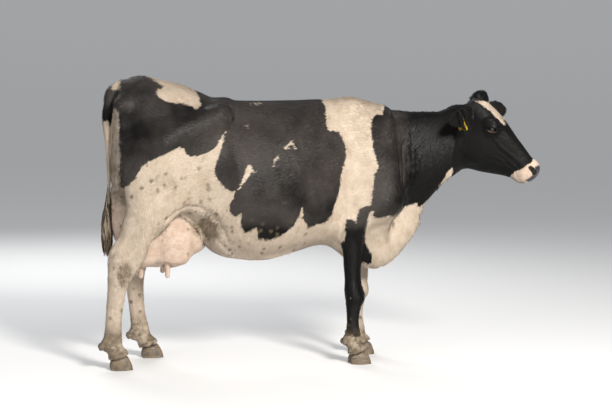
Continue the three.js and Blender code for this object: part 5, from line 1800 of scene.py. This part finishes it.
def build_mesh(name, vertices, faces, uv=None):
    """A mesh of triangles from arrays (m), with the bake map if one is given."""
    mesh = bpy.data.meshes.new(name)
    mesh.vertices.add(len(vertices))
    mesh.vertices.foreach_set("co", np.ascontiguousarray(vertices, dtype=np.float32).ravel())
    mesh.loops.add(faces.size)
    mesh.loops.foreach_set("vertex_index", faces.astype(np.int32).ravel())
    mesh.polygons.add(len(faces))
    mesh.polygons.foreach_set("loop_start", np.arange(0, faces.size, 3, dtype=np.int32))
    mesh.update(calc_edges=True)
    mesh.validate()
    if uv is not None:
        layer = mesh.uv_layers.new(name="OFBake")
        layer.data.foreach_set("uv", uv[faces.ravel()].astype(np.float32).ravel())
    piece = bpy.data.objects.new(name, mesh)
    bpy.context.scene.collection.objects.link(piece)
    only(piece)
    bpy.ops.object.shade_smooth()
    return piece


def add_coat(skin, points, marks, material):
    """Grows the tufts and shares them out to the coat's pieces."""
    place, normal, at_root, kind = skin_samples(skin, points, marks)
    at_root["ear_side"] = np.sign(at_root["ear_side"])
    flow = coat_flow(place, normal, at_root)
    wander = chance.normal(0, TUFT_WANDER, len(place))
    flow = unit(flow + np.cross(normal, flow) * wander[:, None])
    sizes = np.array(list(COAT_KINDS.values()))[kind]
    grown = chance.uniform(*TUFT_LENGTH, len(place))
    length = sizes[:, 0] * grown
    low = ramp(place[:, 2], *SHORT_FOOT["z"])
    on_foot = SHORT_FOOT["share"] + (1 - SHORT_FOOT["share"]) * low
    length = np.where(kind == KIND["foot"], length * on_foot, length)
    near_eye = np.min([np.linalg.norm(place - EYES[s].origin, axis=1) for s in (RIGHT, LEFT)], axis=0)
    away = ramp(near_eye, *SHORT_AT_EYE["away"])
    length = length * (SHORT_AT_EYE["share"] + (1 - SHORT_AT_EYE["share"]) * away)
    middle = place + flow * (length * TUFT_MIDDLE)[:, None]
    marked = coat_marks(middle, normal)["white"]
    at_root["white"] = np.where(at_root["ear_side"] == 0, marked, at_root["white"])
    width = sizes[:, 1] * chance.uniform(*TUFT_WIDTH, len(place))
    depth = coat_depth(place, at_root)
    lift = depth * chance.uniform(*TUFT_LIFT, len(place))
    lift = np.where(kind == KIND["poll"], POLL_LIFT * grown, lift)
    lift = np.where(kind == KIND["ear"], EAR_TUFT_LIFT * grown, lift)
    corners = world_of(tuft_mesh(place, normal, flow, length, width, lift))
    for name, (chosen, u, v) in coat_pieces(place, at_root).items():
        number = np.flatnonzero(chosen)
        vertices = corners[number].reshape(-1, 3)
        faces = (TUFT_FACES[None] + TUFT_CORNERS * np.arange(len(number))[:, None, None]).reshape(-1, 3)
        centre = np.stack([spread(u[number]), spread(v[number])], -1)
        uv = (centre[:, None] + PATCH_CORNERS[None]).reshape(-1, 2)
        piece = build_mesh(name, vertices, faces, uv)
        sharpen_rims(piece.data)
        for mark in MARKS:
            set_attribute(piece, mark, np.repeat(at_root[mark][number], TUFT_CORNERS))
        set_attribute(piece, "root", np.repeat(world_of(middle[number]), TUFT_CORNERS, axis=0))
        piece.data.materials.append(material)
        replace(piece, "coat")


# The tail's switch: long wavy locks from the lower dock, of cream and brown hair; the cream is kept to its
# sides and the brown before and behind, which paints light on the sides and shade before and behind.
SWITCH_LOCKS = 300
SWITCH = {
    "from": (740, 930), "long": (200, 380), "end": (558, 640), "wave": (24, 40), "thick": 3.6, "tip": 0.25,
}
SWITCH_SPREAD = {"root": 0.45, "more": 0.62, "turn": 0.6, "turn_over": 62}
SWITCH_SWAY = {"wide": 6, "from": (0.1, 0.5)}
SWITCH_LIT_CREAM = (0.70, 1.06)  # how far to the side a lock is before it may be cream, by chance
LOCK_THICKNESS = (0.7, 1.2)
LOCK_STEPS = 10
LOCK_SIDES = 3


def lock_mesh(lines, thick):
    """Closed tapering locks round many centre lines: their corners and their triangles."""
    count, steps = thick.shape
    turn = np.arange(LOCK_SIDES) * 2 * np.pi / LOCK_SIDES
    along = unit(np.gradient(lines, axis=1).reshape(-1, 3)).reshape(lines.shape)
    first = np.cross(along, np.array([0.1, 1.0, 0.2]))
    first = unit(first.reshape(-1, 3)).reshape(lines.shape)
    second = np.cross(along, first)
    ring = first[:, :, None] * np.cos(turn)[:, None] + second[:, :, None] * np.sin(turn)[:, None]
    corners = lines[:, :, None] + ring * thick[:, :, None, None]
    faces = []
    for k in range(steps - 1):
        for corner in range(LOCK_SIDES):
            a, b = k * LOCK_SIDES + corner, k * LOCK_SIDES + (corner + 1) % LOCK_SIDES
            faces += [(a, b, a + LOCK_SIDES), (b, b + LOCK_SIDES, a + LOCK_SIDES)]
    last = (steps - 1) * LOCK_SIDES
    faces += [(0, 2, 1), (last, last + 1, last + 2)]
    size = steps * LOCK_SIDES
    faces = np.array(faces)[None] + size * np.arange(count)[:, None, None]
    return corners.reshape(-1, 3), faces.reshape(-1, 3)


def add_locks(name, lines, thick, marks, map_place, material):
    """A piece of locks, each coloured by the marks at its root; map_place is where its patch lies."""
    vertices, faces = lock_mesh(lines, thick)
    count, steps = thick.shape
    size = steps * LOCK_SIDES
    patch = np.stack([np.tile(np.linspace(-0.5, 0.5, LOCK_SIDES), steps),
                      np.repeat(np.linspace(-0.5, 0.5, steps), LOCK_SIDES)], -1) * PATCH
    uv = (map_place[:, None] + patch[None]).reshape(-1, 2)
    piece = build_mesh(name, world_of(vertices), faces, uv)
    only(piece)
    bpy.ops.object.mode_set(mode="EDIT")
    bpy.ops.mesh.select_all(action="SELECT")
    bpy.ops.mesh.normals_make_consistent(inside=False)
    bpy.ops.object.mode_set(mode="OBJECT")
    for mark in MARKS:
        set_attribute(piece, mark, np.repeat(marks.get(mark, np.zeros(count)), size))
    set_attribute(piece, "root", np.repeat(world_of(lines[:, 0]), size, axis=0))
    piece.data.materials.append(material)
    replace(piece, "coat")


def add_switch(material):
    """The tail's switch: each lock winds round the dock's own line and tapers to a point."""
    tail = smooth_stations([-s[2] for s in TAIL.values()], [(s[0], s[3], s[4]) for s in TAIL.values()])
    start = chance.uniform(*SWITCH["from"], SWITCH_LOCKS)
    end = start - chance.uniform(*SWITCH["long"], SWITCH_LOCKS)
    end = np.maximum(end, chance.uniform(*SWITCH["end"], SWITCH_LOCKS))
    angle, phase, bend = chance.uniform(0, 2 * np.pi, (3, SWITCH_LOCKS))
    wave = chance.uniform(*SWITCH["wave"], SWITCH_LOCKS)
    t = np.linspace(0, 1, LOCK_STEPS)[None]
    z = start[:, None] + (end - start)[:, None] * t
    row = tail(-z.ravel()).reshape(SWITCH_LOCKS, LOCK_STEPS, 3)
    out = SWITCH_SPREAD["root"] + SWITCH_SPREAD["more"] * np.sqrt(t)
    winding = np.sin(z / SWITCH_SPREAD["turn_over"] + phase[:, None])
    turn = angle[:, None] + SWITCH_SPREAD["turn"] * winding
    sway = SWITCH_SWAY["wide"] * np.sin(z / wave[:, None] + phase[:, None])
    sway = sway * ramp(t, *SWITCH_SWAY["from"])
    x = row[..., 0] + np.cos(turn) * row[..., 1] * out + sway * np.sin(bend)[:, None]
    y = np.sin(turn) * row[..., 2] * out + sway * np.cos(bend)[:, None]
    swell = 0.5 + 0.5 * ramp(t, 0, 0.2)
    thick = SWITCH["thick"] * np.sqrt(np.clip(1 - t, 0, 1)) * swell + SWITCH["tip"]
    thick = thick * chance.uniform(*LOCK_THICKNESS, SWITCH_LOCKS)[:, None]
    lines = np.stack([x, y, z], -1)
    # Cream only on the sideways locks: painted light on the switch's sides, painted shade before and behind.
    lit_cream = np.abs(np.sin(angle)) > chance.uniform(*SWITCH_LIT_CREAM, SWITCH_LOCKS)
    marks = {"white": np.where(lit_cream, 6.0, -6.0), "dirt_and_shade": np.where(lit_cream, 0.9, 1.3)}
    map_place = np.stack([spread(-start), spread(angle)], -1)
    add_locks("coat_tail_switch", lines, thick, marks, map_place, material)


# Long black hair that hangs from the near ear over both edges of its tag.
FRINGE_LOCKS = 220
FRINGE_STEPS = 6
FRINGE = {"before": (88, 106), "behind": (130, 148), "top": (-46, 36), "length": (42, 66), "proud": 22}
FRINGE_LEAN, FRINGE_RISE = (0.0, 0.15), (0.7, 1.15)
FRINGE_ROOT, FRINGE_BOW = 4, (0.08, 0.62)
FRINGE_THICK, FRINGE_TIP = 1.9, 1.02
FRINGE_GREY = 0.6  # how much of the ear's own grey the fringe has


def add_ear_fringe(material):
    """The near ear's long locks, which bow out over the tag and hang past its lower edge."""
    ear = EARS[RIGHT]
    behind = chance.random(FRINGE_LOCKS) < 0.5
    u = chance.random(FRINGE_LOCKS)
    along = np.where(behind, FRINGE["behind"][0] + u * np.ptp(FRINGE["behind"]),
                     FRINGE["before"][0] + u * np.ptp(FRINGE["before"]))
    across = chance.uniform(*FRINGE["top"], FRINGE_LOCKS)
    length = chance.uniform(*FRINGE["length"], FRINGE_LOCKS)
    lean = np.where(behind, -1, 1) * chance.uniform(*FRINGE_LEAN, FRINGE_LOCKS)
    proud = FRINGE["proud"] * chance.uniform(*FRINGE_RISE, FRINGE_LOCKS)
    t = np.linspace(0, 1, FRINGE_STEPS)[None]
    x = along[:, None] + (lean * length)[:, None] * t
    y = across[:, None] + length[:, None] * t
    surface = ear_lift(along, across, RIGHT)[:, None]
    bow = np.sin(np.pi * (FRINGE_BOW[0] + FRINGE_BOW[1] * t))
    z = surface + FRINGE_ROOT + (proud - FRINGE_ROOT)[:, None] * bow
    lines = ear.to_world(np.stack([x, y, z], -1).reshape(-1, 3)).reshape(FRINGE_LOCKS, FRINGE_STEPS, 3)
    thick = FRINGE_THICK * np.sqrt(np.clip(FRINGE_TIP - t, 0, 1)) * np.ones((FRINGE_LOCKS, 1))
    marks = {"white": np.full(FRINGE_LOCKS, float(ALL_BLACK)), "ear": np.full(FRINGE_LOCKS, FRINGE_GREY)}
    map_place = np.stack([spread(along), spread(across)], -1)
    add_locks("coat_ear_fringe", lines, thick, marks, map_place, material)


# ---- Camera, floor and light ----


def add_camera():
    data = bpy.data.cameras.new("camera")
    data.lens = FOCAL_PIXELS / PICTURE[0] * data.sensor_width
    data.dof.use_dof = False
    camera = bpy.data.objects.new("camera", data)
    bpy.context.scene.collection.objects.link(camera)
    roll = Matrix.Rotation(CAMERA_ROLL, 4, "Z")
    axes = Matrix([ACROSS, RISE, -LOOK]).transposed().to_4x4()
    place = Vector(CAMERA_PLACE) - Vector(DESIGN_SHIFT * MM)
    camera.matrix_world = Matrix.Translation(place) @ axes @ roll
    bpy.context.scene.camera = camera


# The sky brightens upwards just enough that the far floor, lit by it alone, meets it with no edge.
FLOOR_ALBEDO = 0.72
SKY_LIGHT = 0.36


def add_floor():
    bpy.ops.object.select_all(action="DESELECT")
    bpy.ops.mesh.primitive_circle_add(vertices=96, radius=60, fill_type="NGON", location=(0, 0, 0))
    floor = bpy.context.active_object
    floor.name = "floor"
    material, _, shader = new_material("pale floor")
    shader.inputs["Base Color"].default_value = (FLOOR_ALBEDO,) * 3 + (1,)
    shader.inputs["Roughness"].default_value = 1.0
    shader.inputs["Specular IOR Level"].default_value = 0
    floor.data.materials.append(material)


def add_light(name, place, aim, size, power, colour):
    data = bpy.data.lights.new(name, "AREA")
    data.shape, data.size, data.energy, data.color = "DISK", size, power, colour
    light = bpy.data.objects.new(name, data)
    bpy.context.scene.collection.objects.link(light)
    light.location = place
    light.rotation_euler = (Vector(aim) - Vector(place)).to_track_quat("-Z", "Y").to_euler()


# Each light's place and aim, m, its size, m, its power, W, and its colour.
LIGHTS = {
    "key": ((1.5, -5.6, 4.1), (0, 0, 0.9), 1.7, 610, (1.0, 0.965, 0.91)),
    "fill": ((-5.0, -3.6, 2.4), (0, 0, 0.8), 4.0, 60, (0.93, 0.96, 1.0)),
    "rim": ((-1.5, 5.0, 4.6), (0, 0, 1.0), 3.5, 210, (1.0, 1.0, 1.0)),
}


def add_studio():
    for name, settings in LIGHTS.items():
        add_light(name, *settings)
    world = bpy.data.worlds.new("studio")
    bpy.context.scene.world = world
    world.use_nodes = True
    w = Wiring(world.node_tree)
    height = w.add("SeparateXYZ", {0: w.add("TexCoord").outputs["Generated"]}).outputs["Z"]
    height = w.math("MAXIMUM", height, 0.0)
    rise = (1 / FLOOR_ALBEDO - 1) * 1.5
    sky = world.node_tree.nodes["Background"]
    sky.inputs["Color"].default_value = (0.95, 0.97, 1.0, 1)
    w.put(w.math("MULTIPLY_ADD", height, SKY_LIGHT * rise, SKY_LIGHT), sky.inputs["Strength"])
    bpy.context.scene.view_settings.view_transform = "Standard"


skin, skin_points, skin_marks = make_skin()
skin.data.materials.append(coat_material("skin", "object", 0.35))
replace(skin, "coat", *FLESH)

eye_look = eye_material()
for side, name in ((RIGHT, "eye_right"), (LEFT, "eye_left")):
    add_eye(side, name, eye_look)
horn_look = horn_material()
for place in ("front_right", "front_left", "hind_right", "hind_left"):
    for claw in ("inner", "outer"):
        add_horn(f"claw_{place}_{claw}", horn_look)
        add_horn(f"dewclaw_{place}_{claw}", horn_look)
tag_look = tag_material()
for node in ("eartag_front", "eartag_back"):
    add_tag(node, tag_look)

coat_look = coat_material("coat", "root", 0)
add_coat(skin, skin_points, skin_marks, coat_look)
add_switch(coat_look)
add_ear_fringe(coat_look)

add_camera()
add_floor()
add_studio()
